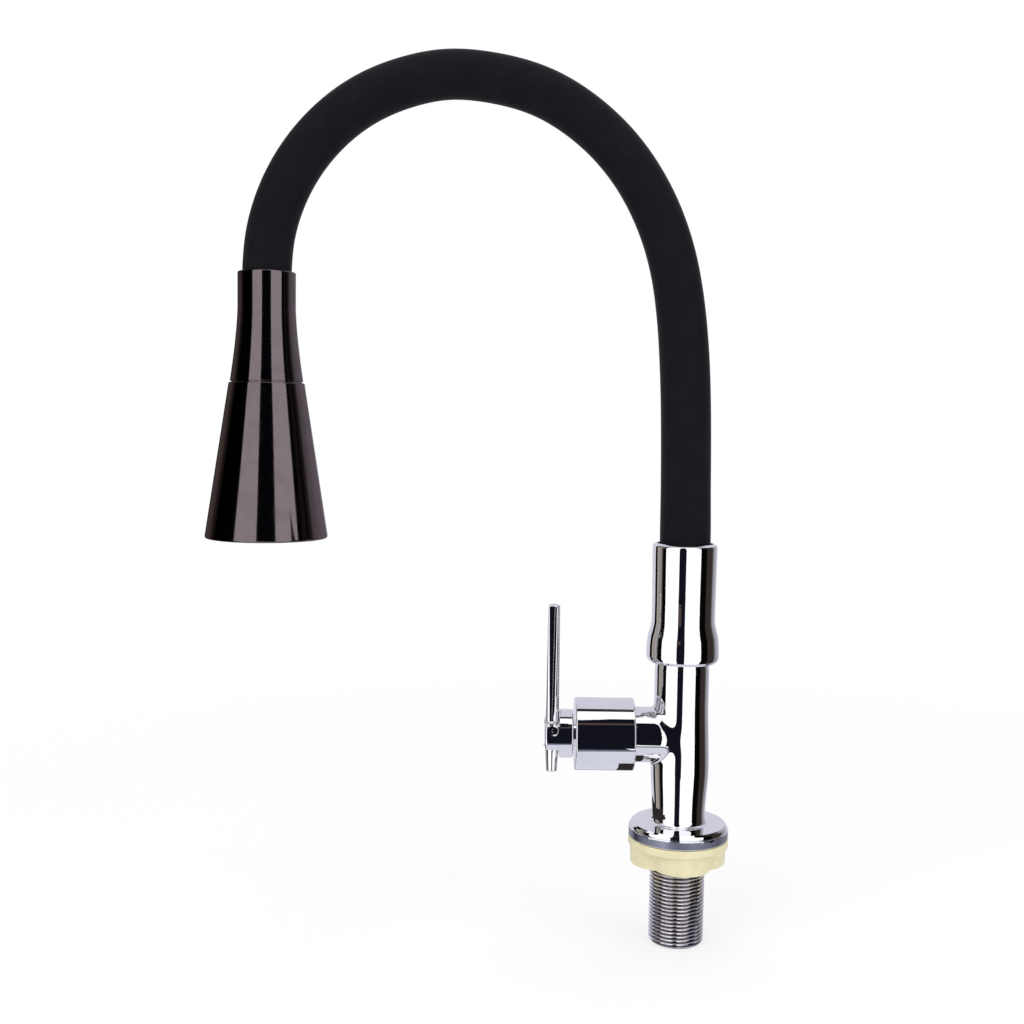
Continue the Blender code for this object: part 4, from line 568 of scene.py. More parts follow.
def branch_join():
    """The column round the branch, the cove and the branch, as (points, faces) in millimetres."""
    on_column, on_branch, centres = [], [], []
    for turn in round_turns(JOIN_STEPS):
        radius = BRANCH_SIDE + (BRANCH_RADIUS - BRANCH_SIDE) * math.cos(turn) ** 2
        across, up = math.sin(turn), math.cos(turn)
        y, z = (radius + COVE) * across, VALVE_HEIGHT + (radius + COVE) * up
        x = -math.sqrt((COLUMN_RADIUS + COVE) ** 2 - y * y)
        centres.append(np.array((x, y, z)))
        inward = np.array((x, y, 0.0)) * COLUMN_RADIUS / (COLUMN_RADIUS + COVE)
        on_column.append(inward + (0, 0, z))
        on_branch.append(np.array((x, radius * across, VALVE_HEIGHT + radius * up)))
    # The patch's edge runs round the top, down the back, round the bottom and up again
    corners = np.cumsum((0, COLUMN_STEPS / 2, SIDE_STEPS, COLUMN_STEPS, SIDE_STEPS, COLUMN_STEPS / 2))
    edge_turns = np.interp(range(JOIN_STEPS), corners, (0.0, math.pi, math.pi, -math.pi, -math.pi, 0.0))
    top, bottom = PATCH_TOP, PATCH_BOTTOM
    edge_heights = np.interp(range(JOIN_STEPS), corners, (top, top, bottom, bottom, top, top))
    rows = []
    for row in range(PATCH_ROWS, 0, -1):
        share = row / PATCH_ROWS
        ring = []
        for point, turn, height in zip(on_column, edge_turns, edge_heights):
            own = math.atan2(point[1], -point[0])
            angle = own + (turn - own) * share
            rise = point[2] + (height - point[2]) * share
            ring.append((-COLUMN_RADIUS * math.cos(angle), COLUMN_RADIUS * math.sin(angle), rise))
        rows.append(ring)
    for row in range(COVE_ROWS + 1):
        share = row / COVE_ROWS
        ring = []
        for first, last, centre in zip(on_column, on_branch, centres):
            direction = (first - centre) * (1 - share) + (last - centre) * share
            ring.append(centre + direction * COVE / np.linalg.norm(direction))
        rows.append(ring)
    ends = [np.array(point) for point in branch_ring(BRANCH_END, BRANCH_RADIUS)]
    for share in BRANCH_SHARES:
        rows.append([last + (end - last) * share for last, end in zip(on_branch, ends)])
    # Every row but the first and the last is drawn onto the form in which the two run together
    skin = np.array(rows[1:-1], dtype=float).reshape(-1, 3)
    for _ in range(SKIN_PASSES):
        slope = casting_slope(skin)
        skin -= casting_depth(skin)[:, None] * slope / np.sum(slope**2, axis=1)[:, None]
    rows[1:-1] = skin.reshape(-1, JOIN_STEPS, 3).tolist()
    edge = []
    for x, y, z in rows[0]:
        radius, wanted = math.hypot(x, y), float(column_radius(z))
        edge.append((x * wanted / radius, y * wanted / radius, z))
    rows[0] = edge
    rows += [branch_ring(out, radius) for out, radius in SOCKET]
    points = [point for ring in rows for point in ring]
    faces = ring_faces(len(rows), JOIN_STEPS)
    last = len(points) - JOIN_STEPS
    points.append((-SOCKET[-1][0], 0.0, VALVE_HEIGHT))
    middle = len(points) - 1
    faces += [(last + step, last + (step + 1) % JOIN_STEPS, middle) for step in range(JOIN_STEPS)]
    return points, faces


def open_turned(corners):
    """An open turned skin on the column's own steps, as (points, faces) in millimetres."""
    outline = rounded(corners, False)
    points = []
    for radius, height in outline:
        for turn in round_turns(COLUMN_STEPS):
            points.append((-radius / MM * math.cos(turn), radius / MM * math.sin(turn), height / MM))
    return points, ring_faces(len(outline), COLUMN_STEPS)


def face_outward(obj, weld=0.0):
    """Turns the faces outward. Points this near each other are welded first, and holes closed."""
    shape = bmesh.new()
    shape.from_mesh(obj.data)
    if weld:
        bmesh.ops.remove_doubles(shape, verts=shape.verts, dist=weld)
        bmesh.ops.holes_fill(shape, edges=[edge for edge in shape.edges if edge.is_boundary], sides=0)
    bmesh.ops.recalc_face_normals(shape, faces=shape.faces)
    shape.to_mesh(obj.data)
    shape.free()


COLUMN_TOP = [
    (0.02, 66.0), (8.35, 66.0, 0.4), (8.35, 104.0, 0.3), (12.7, 104.0, 0.6),
    *[(float(column_radius(height)), height) for height in (84.0, 83.0, 82.0, 81.0, 76.0, PATCH_TOP)],
]
FLANGE = [
    *[(float(column_radius(height)), height) for height in np.arange(PATCH_BOTTOM, 11.9, -1.0)],
    (12.7, 7.35, 2.7), (22.2, 6.75), (23.0, 5.9, 0.4), (23.15, 4.75, 0.1), (22.9, 4.55), (22.9, 4.4),
    (23.9, 4.3, 0.25), (23.65, 0.0, 0.3),
    (21.1, 0.0), (21.1, 1.8), (17.5, 1.8), (17.5, 0.0), (10.6, 0.0, 0.2), (10.6, 14.8), (0.02, 14.8),
]
pieces = [branch_join(), open_turned(COLUMN_TOP), open_turned(FLANGE)]
casting_points, casting_faces = [], []
for points, faces in pieces:
    start = len(casting_points)
    casting_points += [Vector(point) * MM for point in points]
    casting_faces += [tuple(start + index for index in face) for face in faces]
casting = add_mesh("casting", casting_points, casting_faces)
WELD = 0.004
face_outward(casting, WELD * MM)
smooth(casting)
# The column and branch get their exact normals, so that long reflections run straight
SKIN_FOOT = 10.5
SKIN_EDGE = 0.05
FACING_SHARE = 0.97
mesh = casting.data
places = np.array([tuple(vertex.co) for vertex in mesh.vertices]) / MM
near = (np.abs(casting_depth(places)) < WELD) & (places[:, 2] > SKIN_FOOT)
near &= places[:, 0] > SKIN_EDGE - BRANCH_END
slopes = casting_slope(places)
normals = []
for polygon in mesh.polygons:
    for index in polygon.loop_indices:
        vertex = mesh.loops[index].vertex_index
        slope = Vector(slopes[vertex]).normalized()
        facing = near[vertex] and polygon.normal.dot(slope) > FACING_SHARE
        normals.append(slope if facing else mesh.corner_normals[index].vector.copy())
mesh.normals_split_custom_set(normals)
dress(casting, "base", "chrome", CHROME, "body_casting")

# Shank.
# Chromed brass pipe with a G 3/4 thread cut its whole length. The crests and roots are rounded, and
# the roots and flanks carry painted shade, darker than the crests.
THREAD_TOP_RADIUS = 13.22
THREAD_DEPTH = 1.16
THREAD_PITCH = 1.814
THREAD_ROWS = 10
THREAD_STEPS = 72
THREAD_ROUND = 0.45
FLANK_GAIN = 1.18
FLANK_CUT = 0.09
RUN_OUT = 1.3
RUN_OUT_DEPTH = 1.05
END_DEPTH = 1.1
SHANK_TOP = -0.3
SHANK_BOTTOM = -51.7
# Down the bore, from under the flange: radius, height
SHANK_INSIDE = ((10.3, -0.3), (10.3, 14.5), (8.9, 14.5), (8.9, -51.4), (9.2, -51.7))


def thread_radius(along):
    """Pipe thread with rounded crests and roots, along one pitch from 0 to 1."""
    wave = 0.5 - 0.5 * math.cos(2 * math.pi * along)
    sharp = 1 - abs(2 * along - 1)
    share = THREAD_ROUND * wave + (1 - THREAD_ROUND) * (sharp * FLANK_GAIN - FLANK_CUT)
    share = min(1.0, max(0.0, share))
    return THREAD_TOP_RADIUS - THREAD_DEPTH * (1 - share)


def shank_mesh():
    length = SHANK_TOP - SHANK_BOTTOM
    rows = round(length / THREAD_PITCH * THREAD_ROWS)
    turns = [step / THREAD_STEPS for step in range(THREAD_STEPS)]
    rings = []
    for row in range(rows + 1):
        height = SHANK_BOTTOM + length * row / rows
        near_end = min(1.0, (height - SHANK_BOTTOM) / RUN_OUT)
        most = THREAD_TOP_RADIUS - THREAD_DEPTH * (1 - near_end) * RUN_OUT_DEPTH
        radii = [thread_radius(((height - SHANK_BOTTOM) / THREAD_PITCH - turn) % 1.0) for turn in turns]
        if row in (0, rows):
            radii = [THREAD_TOP_RADIUS - THREAD_DEPTH * END_DEPTH] * THREAD_STEPS
        rings.append(([min(radius, most) for radius in radii], height))
    rings += [([radius] * THREAD_STEPS, height) for radius, height in SHANK_INSIDE]
    points = []
    for radii, height in rings:
        for radius, turn in zip(radii, turns):
            angle = 2 * math.pi * turn
            points.append((radius * math.cos(angle), radius * math.sin(angle), height))
    faces = ring_faces(len(rings), THREAD_STEPS, closed=True)
    return [Vector(point) * MM for point in points], faces


shank = add_mesh("shank", *shank_mesh())
smooth(shank, 50)
thread_finish, shade = new_finish("threaded_chrome")
# Painted shade: the base colour darkens from the bright crests down into the roots and flanks
THREAD_ROOT_PAINTED_SHADE = (0.17, 0.155, 0.175)
THREAD_BRIGHT = (0.93, 0.91, 0.94)
CREST_LOW = THREAD_TOP_RADIUS - THREAD_DEPTH * 0.95
CREST_HIGH = THREAD_TOP_RADIUS - 0.04
place = shade.node("ShaderNodeTexCoord").out("Object")
across = shade.node("ShaderNodeVectorMath", {"operation": "MULTIPLY"}, {0: place, 1: (1.0, 1.0, 0.0)})
reach = shade.node("ShaderNodeVectorMath", {"operation": "LENGTH"}, {0: across}).out("Value")
# The crest share lays the painted shade into the roots, and also sets the roughness
crest = reach.between(CREST_LOW * MM, CREST_HIGH * MM)
stain = noise(shade, 2.5, 4.0).between(0.35, 0.75)
surface_of(shade, {
    "Base Color": (crest * (1 - stain * 0.25)).mix(THREAD_ROOT_PAINTED_SHADE, THREAD_BRIGHT),
    "Metallic": 1.0,
    "Roughness": 0.20 - crest * 0.12 + stain * 0.05,
    "Normal": bump(shade, noise(shade, 0.6, 3.0), 0.02),
})
dress(shank, "base", "chrome", thread_finish, "threaded_shank")

# Deck seal and lock nut.
# The seal is a flat rubber ring in the flange's groove. The nut is moulded in cream nylon: a round
# rim that bears on the sink's underside, and a grip of four broad lobes for the fingers.
NUT_TOP = -0.3
NUT_RIM = 23.9
NUT_RIM_HEIGHT = 3.7
NUT_HEIGHT = 12.9
NUT_CORNER = 23.0
NUT_HOLLOW = 18.5
NUT_TURN = math.radians(4.0)
NUT_LOBES = 4
NUT_STEPS = 240
NUT_BORE = 13.52
GRIP_INSET = 0.7
LOBE_ROUND = 0.0004
CREASE_ROUND = 0.035
CREASE_RISE = 0.004


def nut_reach(turn):
    """How far the grip reaches from the axis: rounded lobes that meet in soft creases."""
    place = (turn - NUT_TURN + math.pi / 2) / (2 * math.pi / NUT_LOBES) % 1.0
    share = 2 * min(place, 1 - place)
    if share < 0.5:
        share = math.sqrt(share**2 + LOBE_ROUND)
    else:
        share = 1 - (math.hypot(1 - share, CREASE_ROUND) - CREASE_RISE)
    return NUT_CORNER + (NUT_HOLLOW - NUT_CORNER) * share**2


def nut_mesh():
    foot, rim = -NUT_HEIGHT, -NUT_RIM_HEIGHT
    rows = (
        ("rim", -0.5, 0.0), ("rim", -0.15, -0.12), ("rim", 0.0, -0.5), ("rim", 0.0, -0.7),
        ("rim", 0.0, rim + 0.35), ("rim", -0.1, rim + 0.12), ("rim", -0.4, rim),
        ("grip", 0.45, rim - 0.02), ("grip", 0.12, rim - 0.2), ("grip", 0.0, rim - 0.6),
        ("grip", -0.12, foot + 0.9), ("grip", -0.25, foot + 0.4), ("grip", -0.6, foot + 0.1),
        ("grip", -1.0, foot), ("bore", 1.0, foot), ("bore", 0.3, foot + 0.3), ("bore", 0.0, foot + 1.0),
        ("bore", 0.0, -1.0), ("bore", 0.8, 0.0),
    )
    points = []
    for kind, grow, height in rows:
        for turn in round_turns(NUT_STEPS):
            grip = min(nut_reach(turn), NUT_RIM - GRIP_INSET)
            reach = {"rim": NUT_RIM, "grip": grip, "bore": NUT_BORE}[kind] + grow
            points.append(Vector((reach * math.cos(turn), reach * math.sin(turn), NUT_TOP + height)) * MM)
    return points, ring_faces(len(rows), NUT_STEPS, closed=True, turned_over=True)


nut = add_mesh("nut", *nut_mesh())
smooth(nut, 40)
nut_finish, shade = new_finish("cream_nylon")
CREAM = (0.80, 0.745, 0.485)
CREAM_DEEP = (0.74, 0.68, 0.42)
cloud = noise(shade, 7.0, 3.0)
grain = noise(shade, 0.35, 2.0)
surface_of(shade, {
    "Base Color": cloud.between(0.35, 0.7).mix(CREAM, CREAM_DEEP),
    "Roughness": 0.36 + grain * 0.14,
    "Subsurface Weight": 0.12,
    "Subsurface Radius": (0.002, 0.0016, 0.0008),
    "Subsurface Scale": 1.0,
    "Normal": bump(shade, grain, 0.012),
})
dress(nut, "nut", "cream_plastic", nut_finish, "lock_nut")


def rubber_finish(name, colour=(0.018, 0.018, 0.019), grain_size=0.5):
    """Moulded rubber with a fine grain and a faint bloom."""
    finish, shade = new_finish(name)
    grain = noise(shade, grain_size, 3.0)
    bloom = noise(shade, 6.0, 4.0).between(0.45, 0.75)
    surface_of(shade, {
        "Base Color": (bloom * 0.5).mix(colour, tuple(value * 2.2 for value in colour)),
        "Roughness": 0.62 + grain * 0.2,
        "Normal": bump(shade, grain, 0.02),
    })
    return finish


def give(finish, *nodes):
    """These CAD solids keep their own form and take the finish."""
    for node in nodes:
        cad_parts[node].data.materials[0] = finish


RUBBER = rubber_finish("moulded_rubber")
give(RUBBER, "deck_seal", "port_seal", "stem_o_ring", "spigot_lower_o_ring", "spigot_upper_o_ring")
give(RUBBER, "nipple_o_ring", "core_o_ring")

# Valve.
# A ceramic cartridge sits in the branch's socket under a threaded brass ring. A plain turned and
# chromed cover screws over the socket and hides it all.
COVER_RADIUS = 17.25
COVER_START = 22.8
COVER_END = 50.9
COVER_BORE = 15.5
COVER_HOLE = 6.4
COVER_INSIDE = COVER_END - 1.9
cover = lathe(
    "cover",
    [
        (COVER_HOLE, COVER_END, 0.2), (COVER_RADIUS, COVER_END, 0.7), (COVER_RADIUS, COVER_START, 0.7),
        (COVER_BORE, COVER_START, 0.2), (COVER_BORE, COVER_INSIDE, 0.3), (COVER_HOLE, COVER_INSIDE, 0.2),
    ],
    place=(0.0, 0.0, VALVE_HEIGHT),
    sideways=True,
)
dress(cover, "base", "chrome", CHROME, "valve_cover")


def turned_metal(name, colour, worn, rough):
    """Turned metal: fine tool rings, darker in their grooves, and handling marks."""
    finish, shade = new_finish(name)
    rings = noise(shade, 0.25, 2.0, stretch=(30.0, 30.0, 1.0))
    marks = noise(shade, 4.0, 5.0).between(0.5, 0.8)
    surface_of(shade, {
        "Base Color": (marks * 0.7).mix(colour, worn),
        "Metallic": 1.0,
        "Roughness": rough + rings * 0.12 + marks * 0.1,
        "Normal": bump(shade, rings, 0.02),
    })
    return finish


BRASS = turned_metal("turned_brass", (0.72, 0.54, 0.24), (0.50, 0.34, 0.13), 0.20)
STEEL = turned_metal("plain_steel", (0.60, 0.60, 0.61), (0.46, 0.46, 0.47), 0.24)
give(BRASS, "valve_stem", "cartridge_nut", "spout_spigot", "head_nipple", "nipple_retainer", "bell_retainer")
give(STEEL, "handle_grub_screw", "spigot_grub_screw", "lower_ferrule", "upper_ferrule")


def hard_finish(name, colour, shade_of_it, rough, grain_size, relief):
    """Ceramic or moulded plastic: an even colour with a faint cloud and a fine grain."""
    finish, shade = new_finish(name)
    grain = noise(shade, grain_size, 2.0)
    cloud = noise(shade, 5.0, 3.0).between(0.4, 0.7)
    surface_of(shade, {
        "Base Color": cloud.mix(colour, shade_of_it),
        "Roughness": rough + grain * 0.12,
        "Normal": bump(shade, grain, relief),
    })
    return finish


CERAMIC = hard_finish("lapped_ceramic", (0.86, 0.85, 0.81), (0.82, 0.81, 0.77), 0.16, 0.15, 0.002)
ACETAL = hard_finish("moulded_acetal", (0.80, 0.80, 0.77), (0.76, 0.76, 0.73), 0.34, 0.4, 0.01)
give(CERAMIC, "fixed_disc", "moving_disc", "diverter_disc")
give(ACETAL, "cartridge_housing", "slip_ring", "collar_bearing")
give(ACETAL, "head_core", "carrier_plate", "aerator_insert")

# Lever.
# One zinc casting, chromed: a round hub on the valve's stem, cut flat above and below at its outer
# end, and a thin tapered pin that runs through it and stands up as the handle.
HUB_START = 51.9
NECK_START = 50.2
HUB_END = 65.2
HUB_STEP = 58.3
HUB_RADIUS = 11.45
HUB_FLAT = 6.0
HUB_COVE = 1.2
HUB_EDGE = 0.6
HUB_END_EDGE = 0.8
HUB_STEPS = 160
CORNER_POWER = 26
UNCUT = 20.0


def hub_ring(out, radius, flat=UNCUT):
    """One ring of the hub: a circle cut flat above and below, with the cut's corners eased."""
    ring = []
    for turn in round_turns(HUB_STEPS):
        across, up = math.sin(turn), math.cos(turn)
        reach = radius
        if flat < radius:
            cut = flat / max(abs(up), 1e-6)
            reach = (radius**-CORNER_POWER + cut**-CORNER_POWER) ** (-1 / CORNER_POWER)
        ring.append((-out, reach * across, reach * up))
    return ring


def quarter(size, bends):
    """Steps round a quarter circle, each as its distance from the start and from the end."""
    turns = [math.pi / 2 * bend / bends for bend in range(bends + 1)]
    return [(size * (1 - math.cos(turn)), size * (1 - math.sin(turn))) for turn in turns]


def capped_faces(rows, count):
    """The faces of a stack of rings that is closed at both ends."""
    ends = [tuple(range(count - 1, -1, -1)), tuple(range((rows - 1) * count, rows * count))]
    return ring_faces(rows, count) + ends


def hub_mesh():
    rows = [
        (HUB_START + 6.3, 0.05), (HUB_START + 6.3, 5.1), (HUB_START + 6.1, 5.2), (NECK_START + 0.2, 5.2),
        (NECK_START, 5.3), (NECK_START, 5.95), (NECK_START + 0.15, 6.1), (HUB_START - 0.3, 6.1),
        (HUB_START, 6.4), (HUB_START, HUB_RADIUS - 0.8),
    ]
    rows += [(HUB_START + out, HUB_RADIUS - less) for out, less in quarter(HUB_EDGE, 4)]
    rows += [
        (HUB_START + 0.8, HUB_RADIUS), (HUB_STEP - 0.5, HUB_RADIUS), (HUB_STEP - 0.3, HUB_RADIUS, 11.4),
        (HUB_STEP - 0.1, HUB_RADIUS, 11.2), (HUB_STEP, HUB_RADIUS, 10.9), (HUB_STEP, HUB_RADIUS, 10.7),
        (HUB_STEP, HUB_RADIUS, HUB_FLAT + HUB_COVE + 0.2),
    ]
    rows += [(HUB_STEP + out, HUB_RADIUS, HUB_FLAT + more) for out, more in quarter(HUB_COVE, 5)]
    rows += [(HUB_STEP + HUB_COVE + 0.2, HUB_RADIUS, HUB_FLAT), (HUB_END - 1.0, HUB_RADIUS, HUB_FLAT)]
    rows += [
        (HUB_END - back, HUB_RADIUS - less, HUB_FLAT - less) for less, back in quarter(HUB_END_EDGE, 5)
    ]
    rows += [(HUB_END, HUB_RADIUS - 1.1, HUB_FLAT - 1.1), (HUB_END, 0.05, 0.05)]
    raised = Vector((0, 0, VALVE_HEIGHT * MM))
    points = [Vector(point) * MM + raised for row in rows for point in hub_ring(*row)]
    return points, capped_faces(len(rows), HUB_STEPS)


ROD_PLACE = 61.6
hub = add_mesh("lever_hub", *hub_mesh())
face_outward(hub)
smooth(hub, 40)
ROD_FOOT = (
    (0.0, -5.5), (4.1, -5.5), (4.1, -5.95), (3.55, -6.35, 0.6), (3.2, -7.6), (2.6, -18.5, 0.7), (0.0, -18.5),
)
# The pin widens where it enters the hub: height, scale
ROD_ROOT = ((5.5, 1.28), (5.95, 1.28), (6.15, 1.15), (6.5, 1.05), (7.0, 1.01))
ROD_BOTTOM = 7.6
ROD_DOME = 61.1
ROD_DOME_HEIGHT = 1.5
ROD_RADII = (3.2, 2.85)
ROD_ROWS = 12
DOME_ROWS = 8
DOME_SPREAD = 8.2
FACE_TURNS = tuple(math.radians(turn) for turn in (-90.0, -11.0, 2.4, 90.0))
FACE_STEPS = (8, 6, 14)
# Each part of the front's share of the width at the foot, and how it grows towards the top
FACE_WIDTHS = ((0.5, -0.4), (0.4, 0.65), (1.1, -0.25))
BACK_STEPS = 20


def rod_ring(height, scale=1.0):
    """One ring of the pin: round behind, and pressed flatter in front the nearer it is to the top."""
    share = min(max((height - ROD_BOTTOM) / (ROD_DOME - ROD_BOTTOM), 0.0), 1.0)
    radius = ROD_RADII[0] + (ROD_RADII[1] - ROD_RADII[0]) * share
    widths = [width + grow * share for width, grow in FACE_WIDTHS]
    sines = [math.sin(turn) for turn in FACE_TURNS]
    front = []
    for part, (width, steps) in enumerate(zip(widths, FACE_STEPS)):
        bend = radius * width / (sines[part + 1] - sines[part])
        first, last = FACE_TURNS[part], FACE_TURNS[part + 1]
        start = front[-1] if front else Vector((-radius, 0.0))
        centre = start - bend * Vector((math.sin(first), -math.cos(first)))
        for step in range(0 if part == 0 else 1, steps + 1):
            turn = first + (last - first) * step / steps
            front.append(centre + bend * Vector((math.sin(turn), -math.cos(turn))))
    ring = [point - Vector((0.0, centre.y)) for point in front]
    for step in range(1, BACK_STEPS + 1):
        turn = math.pi * step / BACK_STEPS
        ring.append(Vector((radius * math.cos(turn), radius * math.sin(turn))))
    return [(point.x * scale - ROD_PLACE, point.y * scale, height + VALVE_HEIGHT) for point in ring]


def rod_mesh():
    rows = [rod_ring(height, scale) for height, scale in ROD_ROOT]
    rise = ROD_DOME - ROD_BOTTOM
    rows += [rod_ring(ROD_BOTTOM + rise * step / ROD_ROWS) for step in range(ROD_ROWS + 1)]
    for step in range(1, DOME_ROWS + 1):
        turn = math.pi / 2 * step / DOME_SPREAD
        rows.append(rod_ring(ROD_DOME + ROD_DOME_HEIGHT * math.sin(turn), math.cos(turn)))
    return [Vector(point) * MM for ring in rows for point in ring], capped_faces(len(rows), len(rows[0]))


rod = add_mesh("lever_rod", *rod_mesh())
smooth(rod, 50)
rod_foot = lathe("lever_rod_foot", ROD_FOOT, place=(-ROD_PLACE, 0.0, VALVE_HEIGHT), steps=64)
# A cast dimple on the hub's front marks where the pin is driven in
DIMPLE = [(0.0, -0.15), (1.85, 0.05), (2.25, 0.50, 0.18), (2.65, 0.05), (2.65, -0.8), (0.0, -0.8)]
dimple = lathe("hub_dimple", DIMPLE, steps=48)
DIMPLE_EVEN, DIMPLE_SLANT = 0.3, 0.7
for vertex in dimple.data.vertices:
    vertex.co.z *= min(max(DIMPLE_EVEN + DIMPLE_SLANT * vertex.co.x / MM, 0.0), 1.0)
DIMPLE_PLACE = -61.3
DIMPLE_TILT = math.radians(19)
back, up = HUB_RADIUS * math.cos(DIMPLE_TILT), HUB_RADIUS * math.sin(DIMPLE_TILT)
seat = Vector((DIMPLE_PLACE, -back, VALVE_HEIGHT + up)) * MM
turned = Matrix.Rotation(math.pi / 2 - DIMPLE_TILT, 4, "X")
dimple.data.transform(Matrix.Translation(seat) @ turned)
for piece in (dimple, hub, rod, rod_foot):
    dress(piece, "lever", "chrome", CHROME, "lever_handle")

# Collar.
# Turned brass sleeve, chromed, that hides the swivel. It flares over the column at its foot, and its
# mouth at the top is rounded where the hose comes out.
collar = lathe(
    "collar",
    [
        (12.3, 136.5, 0.1), (13.2, 136.5, 0.1), (13.2, 141.4, 0.15), (13.6, 141.5, 0.2), (15.3, 140.6, 1.7),
        (15.2, 128.0), (15.02, 113.0, 9.0), (15.05, 103.6, 6.0), (15.85, 100.2, 3.0), (16.7, 97.2, 7.0),
        (17.2, 92.0, 5.0), (17.25, 87.6, 3.0), (16.95, 86.3, 0.6), (16.0, 85.0, 0.5),
        (15.45, 84.9, 0.1), (15.45, 91.0), (13.05, 91.0), (13.05, 111.3), (12.3, 111.3),
    ],
)
dress(collar, "spout", "chrome", CHROME, "swivel_collar")

# Hose.
# Three layers: a matt black silicone sleeve, a wound steel conduit that keeps its shape when it is
# bent, and the rubber tube that carries the water. Each is in two lengths that meet at the top of the
# arch.
HOSE_REACH = 198.8
ARCH_TOP = 358.0
COLLAR_TOP = 141.5
HEAD_TOP = 267.0
APEX_SHARE = 0.546
RISING = (
    (0.008, 0.229), (0.018, 0.362), (0.040, 0.492), (0.085, 0.617), (0.174, 0.733),
    (0.308, 0.835), (0.487, 0.917), (0.702, 0.974), (1.0, 1.0),
)
FALLING = ((0.210, 0.025), (0.476, 0.121), (0.703, 0.292), (0.875, 0.519), (0.978, 0.782), (1.0, 1.0))
SLEEVE_ENDS = (126.2, 252.0)
INNER_ENDS = (119.2, 245.4)
ROUTE_STEPS = 24
EASE_REACH = 24
EASE_WIDTH = 9.0


def hose_route(foot, end):
    """The centre line as even points in millimetres, eased so that the reflections run smoothly."""
    apex = HOSE_REACH * APEX_SHARE
    marks = [(0.0, foot), (0.0, COLLAR_TOP)]
    ends = ((0.0, COLLAR_TOP), (-apex, ARCH_TOP), (-HOSE_REACH, HEAD_TOP))
    for (x, z), (next_x, next_z), shares in zip(ends, ends[1:], (RISING, FALLING)):
        marks += [(x + (next_x - x) * across, z + (next_z - z) * up) for across, up in shares]
    marks = np.array([*marks, (-HOSE_REACH, end)])
    padded = np.vstack((2 * marks[0] - marks[1], marks, 2 * marks[-1] - marks[-2]))
    fine = []
    for before, first, second, after in zip(padded, padded[1:], padded[2:], padded[3:]):
        for t in np.arange(ROUTE_STEPS) / ROUTE_STEPS:
            fine.append(
                0.5 * (
                    2 * first + (second - before) * t + (2 * before - 5 * first + 4 * second - after) * t**2
                    + (3 * first - before - 3 * second + after) * t**3
                )
            )
    fine = np.array([*fine, marks[-1]])
    along = np.concatenate(([0.0], np.cumsum(np.linalg.norm(np.diff(fine, axis=0), axis=1))))
    even = np.linspace(0.0, along[-1], round(along[-1]) + 1)
    window = np.exp(-0.5 * (np.arange(-EASE_REACH, EASE_REACH + 1) / EASE_WIDTH) ** 2)
    window /= window.sum()
    line = []
    for axis in (0, 1):
        values = np.interp(even, along, fine[:, axis])
        values = np.pad(values, EASE_REACH, "reflect", reflect_type="odd")
        line.append(np.convolve(values, window, "valid"))
    return np.stack(line, axis=1)


def hose_layer(name, ends, half, outer, inner, sides, ridge=None):
    """One length of one layer, from its end to the top of the arch, with a wall and closed ends."""
    line = hose_route(*ends)
    top = int(np.argmax(line[:, 1]))
    distance = np.arange(len(line), dtype=float)
    part = slice(None, top + 1) if half == "lower" else slice(top, None)
    line, distance = line[part], distance[part]
    ahead = np.gradient(line, axis=0)
    ahead /= np.linalg.norm(ahead, axis=1)[:, None]
    skins = []
    for radius, relief in ((outer, ridge), (inner, None)):
        reach = radius + (relief(distance) if relief else 0.0 * distance)
        ring = []
        for turn in round_turns(sides):
            cos, sin = math.cos(turn), math.sin(turn)
            # Across the arch's plane is +Y; in it, the normal is the direction ahead turned a quarter
            x = line[:, 0] + reach * cos * ahead[:, 1]
            z = line[:, 1] - reach * cos * ahead[:, 0]
            ring.append(np.stack((x, reach * sin, z), axis=1))
        skins.append(np.stack(ring, axis=1))
    rows = len(line)
    points = np.concatenate([skin.reshape(-1, 3) for skin in skins]) * MM
    faces = []
    inside = rows * sides
    for quad in ring_faces(rows, sides):
        faces += [quad, tuple(inside + quad[corner] for corner in (1, 0, 3, 2))]
    for row, turned_over in ((0, True), (rows - 1, False)):
        for side in range(sides):
            after = (side + 1) % sides
            low = row * sides
            quad = (low + side, low + after, inside + low + after, inside + low + side)
            faces.append(quad[::-1] if turned_over else quad)
    layer = add_mesh(name, points, faces)
    face_outward(layer)
    smooth(layer, 60)
    return layer


silicone, shade = new_finish("black_silicone")
SILICONE_COLOUR = (0.0086, 0.0082, 0.0110)
SILICONE_PALE = (0.0122, 0.0116, 0.0154)
skin = noise(shade, 0.28, 3.0)
wipe = noise(shade, 11.0, 4.0).between(0.42, 0.78)
surface_of(shade, {
    "Base Color": (wipe * 0.6).mix(SILICONE_COLOUR, SILICONE_PALE),
    "Roughness": 0.42 + skin * 0.10 + wipe * 0.06,
    "Specular IOR Level": 0.02,
    "Sheen Weight": 0.05,
    "Sheen Roughness": 0.4,
    "Normal": bump(shade, skin, 0.010),
})


# How far along it, and how much, the sleeve is drawn in where it is stretched over the arch
DRAWN_IN = (
    (22, 0.0), (40, 0.2), (100, 0.26), (140, 0.64), (190, 0.78), (290, 0.78), (330, 0.6), (460, 0.6),
)
STRIP_PITCH = 6.0
STRIP_DEPTH = 0.28


def drawn(distance):
    """The sleeve sits full over its ferrule and is a little thinner where it is stretched."""
    return -np.interp(distance, *zip(*DRAWN_IN))


def wound(distance):
    """The strip-wound steel conduit: a ridge and a groove for every turn of the strip."""
    return STRIP_DEPTH * np.cos(2 * np.pi * distance / STRIP_PITCH) - STRIP_DEPTH


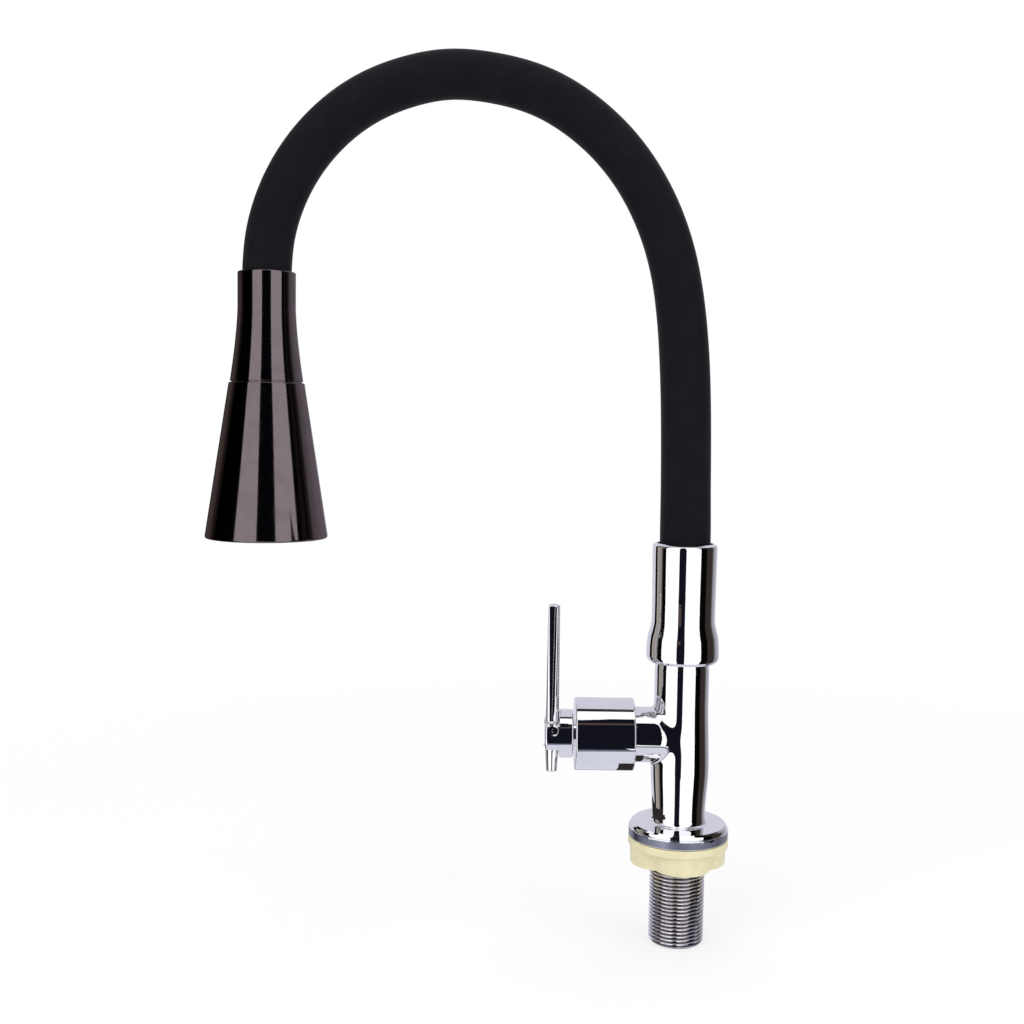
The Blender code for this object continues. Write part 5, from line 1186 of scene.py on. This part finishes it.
HOSE_LAYERS = (
    ("sleeve", "silicone_sleeve", "black_silicone", silicone, SLEEVE_ENDS, 12.0, 9.0, 96, drawn),
    ("conduit", "gooseneck_conduit", "stainless_steel", STEEL, INNER_ENDS, 8.55, 6.6, 32, wound),
    ("water_tube", "water_tube", "black_rubber", RUBBER, INNER_ENDS, 6.1, 4.3, 24, None),
)
for name, node, slot, finish, ends, outer, inner, sides, ridge in HOSE_LAYERS:
    for half in ("lower", "upper"):
        layer = hose_layer(f"{name}_{half}", ends, half, outer, inner, sides, ridge)
        layer.data.materials.append(finish)
        if half == "lower":
            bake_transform(layer)
        else:
            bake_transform(layer)
        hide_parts(node)

# Spray head.
# Two moulded shells plated in dark gunmetal. The upper one holds the hose and flares to the seam, and
# the lower one is a plain cone that twists on it to change the spray.
HEAD_PLACE = (-HOSE_REACH, 0.0, 0.0)
gunmetal, shade = new_finish("dark_gunmetal")
GUNMETAL_COLOUR = (0.172, 0.142, 0.147)
GUNMETAL_DULL = (0.152, 0.126, 0.130)
haze = noise(shade, 8.0, 4.0).between(0.40, 0.75)
specks = noise(shade, 0.30, 1.0).between(0.80, 0.87)
ripples = noise(shade, 6.0, 2.0)
surface_of(shade, {
    "Base Color": haze.mix(GUNMETAL_COLOUR, GUNMETAL_DULL),
    "Metallic": 1.0,
    "Specular Tint": (0.50, 0.48, 0.49),
    "Roughness": 0.075 + haze * 0.035 + specks * 0.10,
    "Normal": bump(shade, ripples, 0.006),
})
NECK_RADIUS = 13.45
SEAM_RADIUS = 17.05
FLARE_START = 250.0
SEAM_TOP = 214.9
FLARE_STEPS = 26
FLARE_POWER = 1.5
flare = []
for step in range(1, FLARE_STEPS):
    share = step / FLARE_STEPS
    out = (SEAM_RADIUS - NECK_RADIUS) * share**FLARE_POWER
    flare.append((NECK_RADIUS + out, FLARE_START + (SEAM_TOP - FLARE_START) * share))
upper_shell = lathe(
    "upper_shell",
    [
        (11.75, 265.7, 0.3), (NECK_RADIUS, 265.7, 0.6), (NECK_RADIUS, FLARE_START), *flare,
        (SEAM_RADIUS, SEAM_TOP, 0.5), (16.4, SEAM_TOP), (16.4, 214.33), (15.1, 214.33), (12.3, 229.2),
        (12.3, 262.0), (11.75, 262.6),
    ],
    place=HEAD_PLACE,
)
dress(upper_shell, "head", "gunmetal", gunmetal, "head_upper_shell")
bell = lathe(
    "bell",
    [
        (12.35, 214.3, 0.2), (17.6, 214.3, 0.45), (28.85, 141.2, 0.9), (26.7, 141.2, 0.4), (26.7, 147.9),
        (25.0, 147.9), (16.35, 208.1), (12.35, 208.1),
    ],
    place=HEAD_PLACE,
)
dress(bell, "bell", "gunmetal", gunmetal, "spray_bell")

# Spray plates.
# A dark moulded plate with two rings of rubber nozzles, and the aerator in a chromed housing at its
# centre. The nozzles belong to one rubber mat that lies behind the plate.
face_finish = hard_finish("dark_spray_plate", (0.030, 0.030, 0.034), (0.022, 0.022, 0.025), 0.24, 0.5, 0.01)
give(face_finish, "spray_face", "friction_washer")
give(rubber_finish("nozzle_rubber", (0.13, 0.13, 0.135), 0.3), "nozzle_mat")
give(CHROME, "aerator_housing")
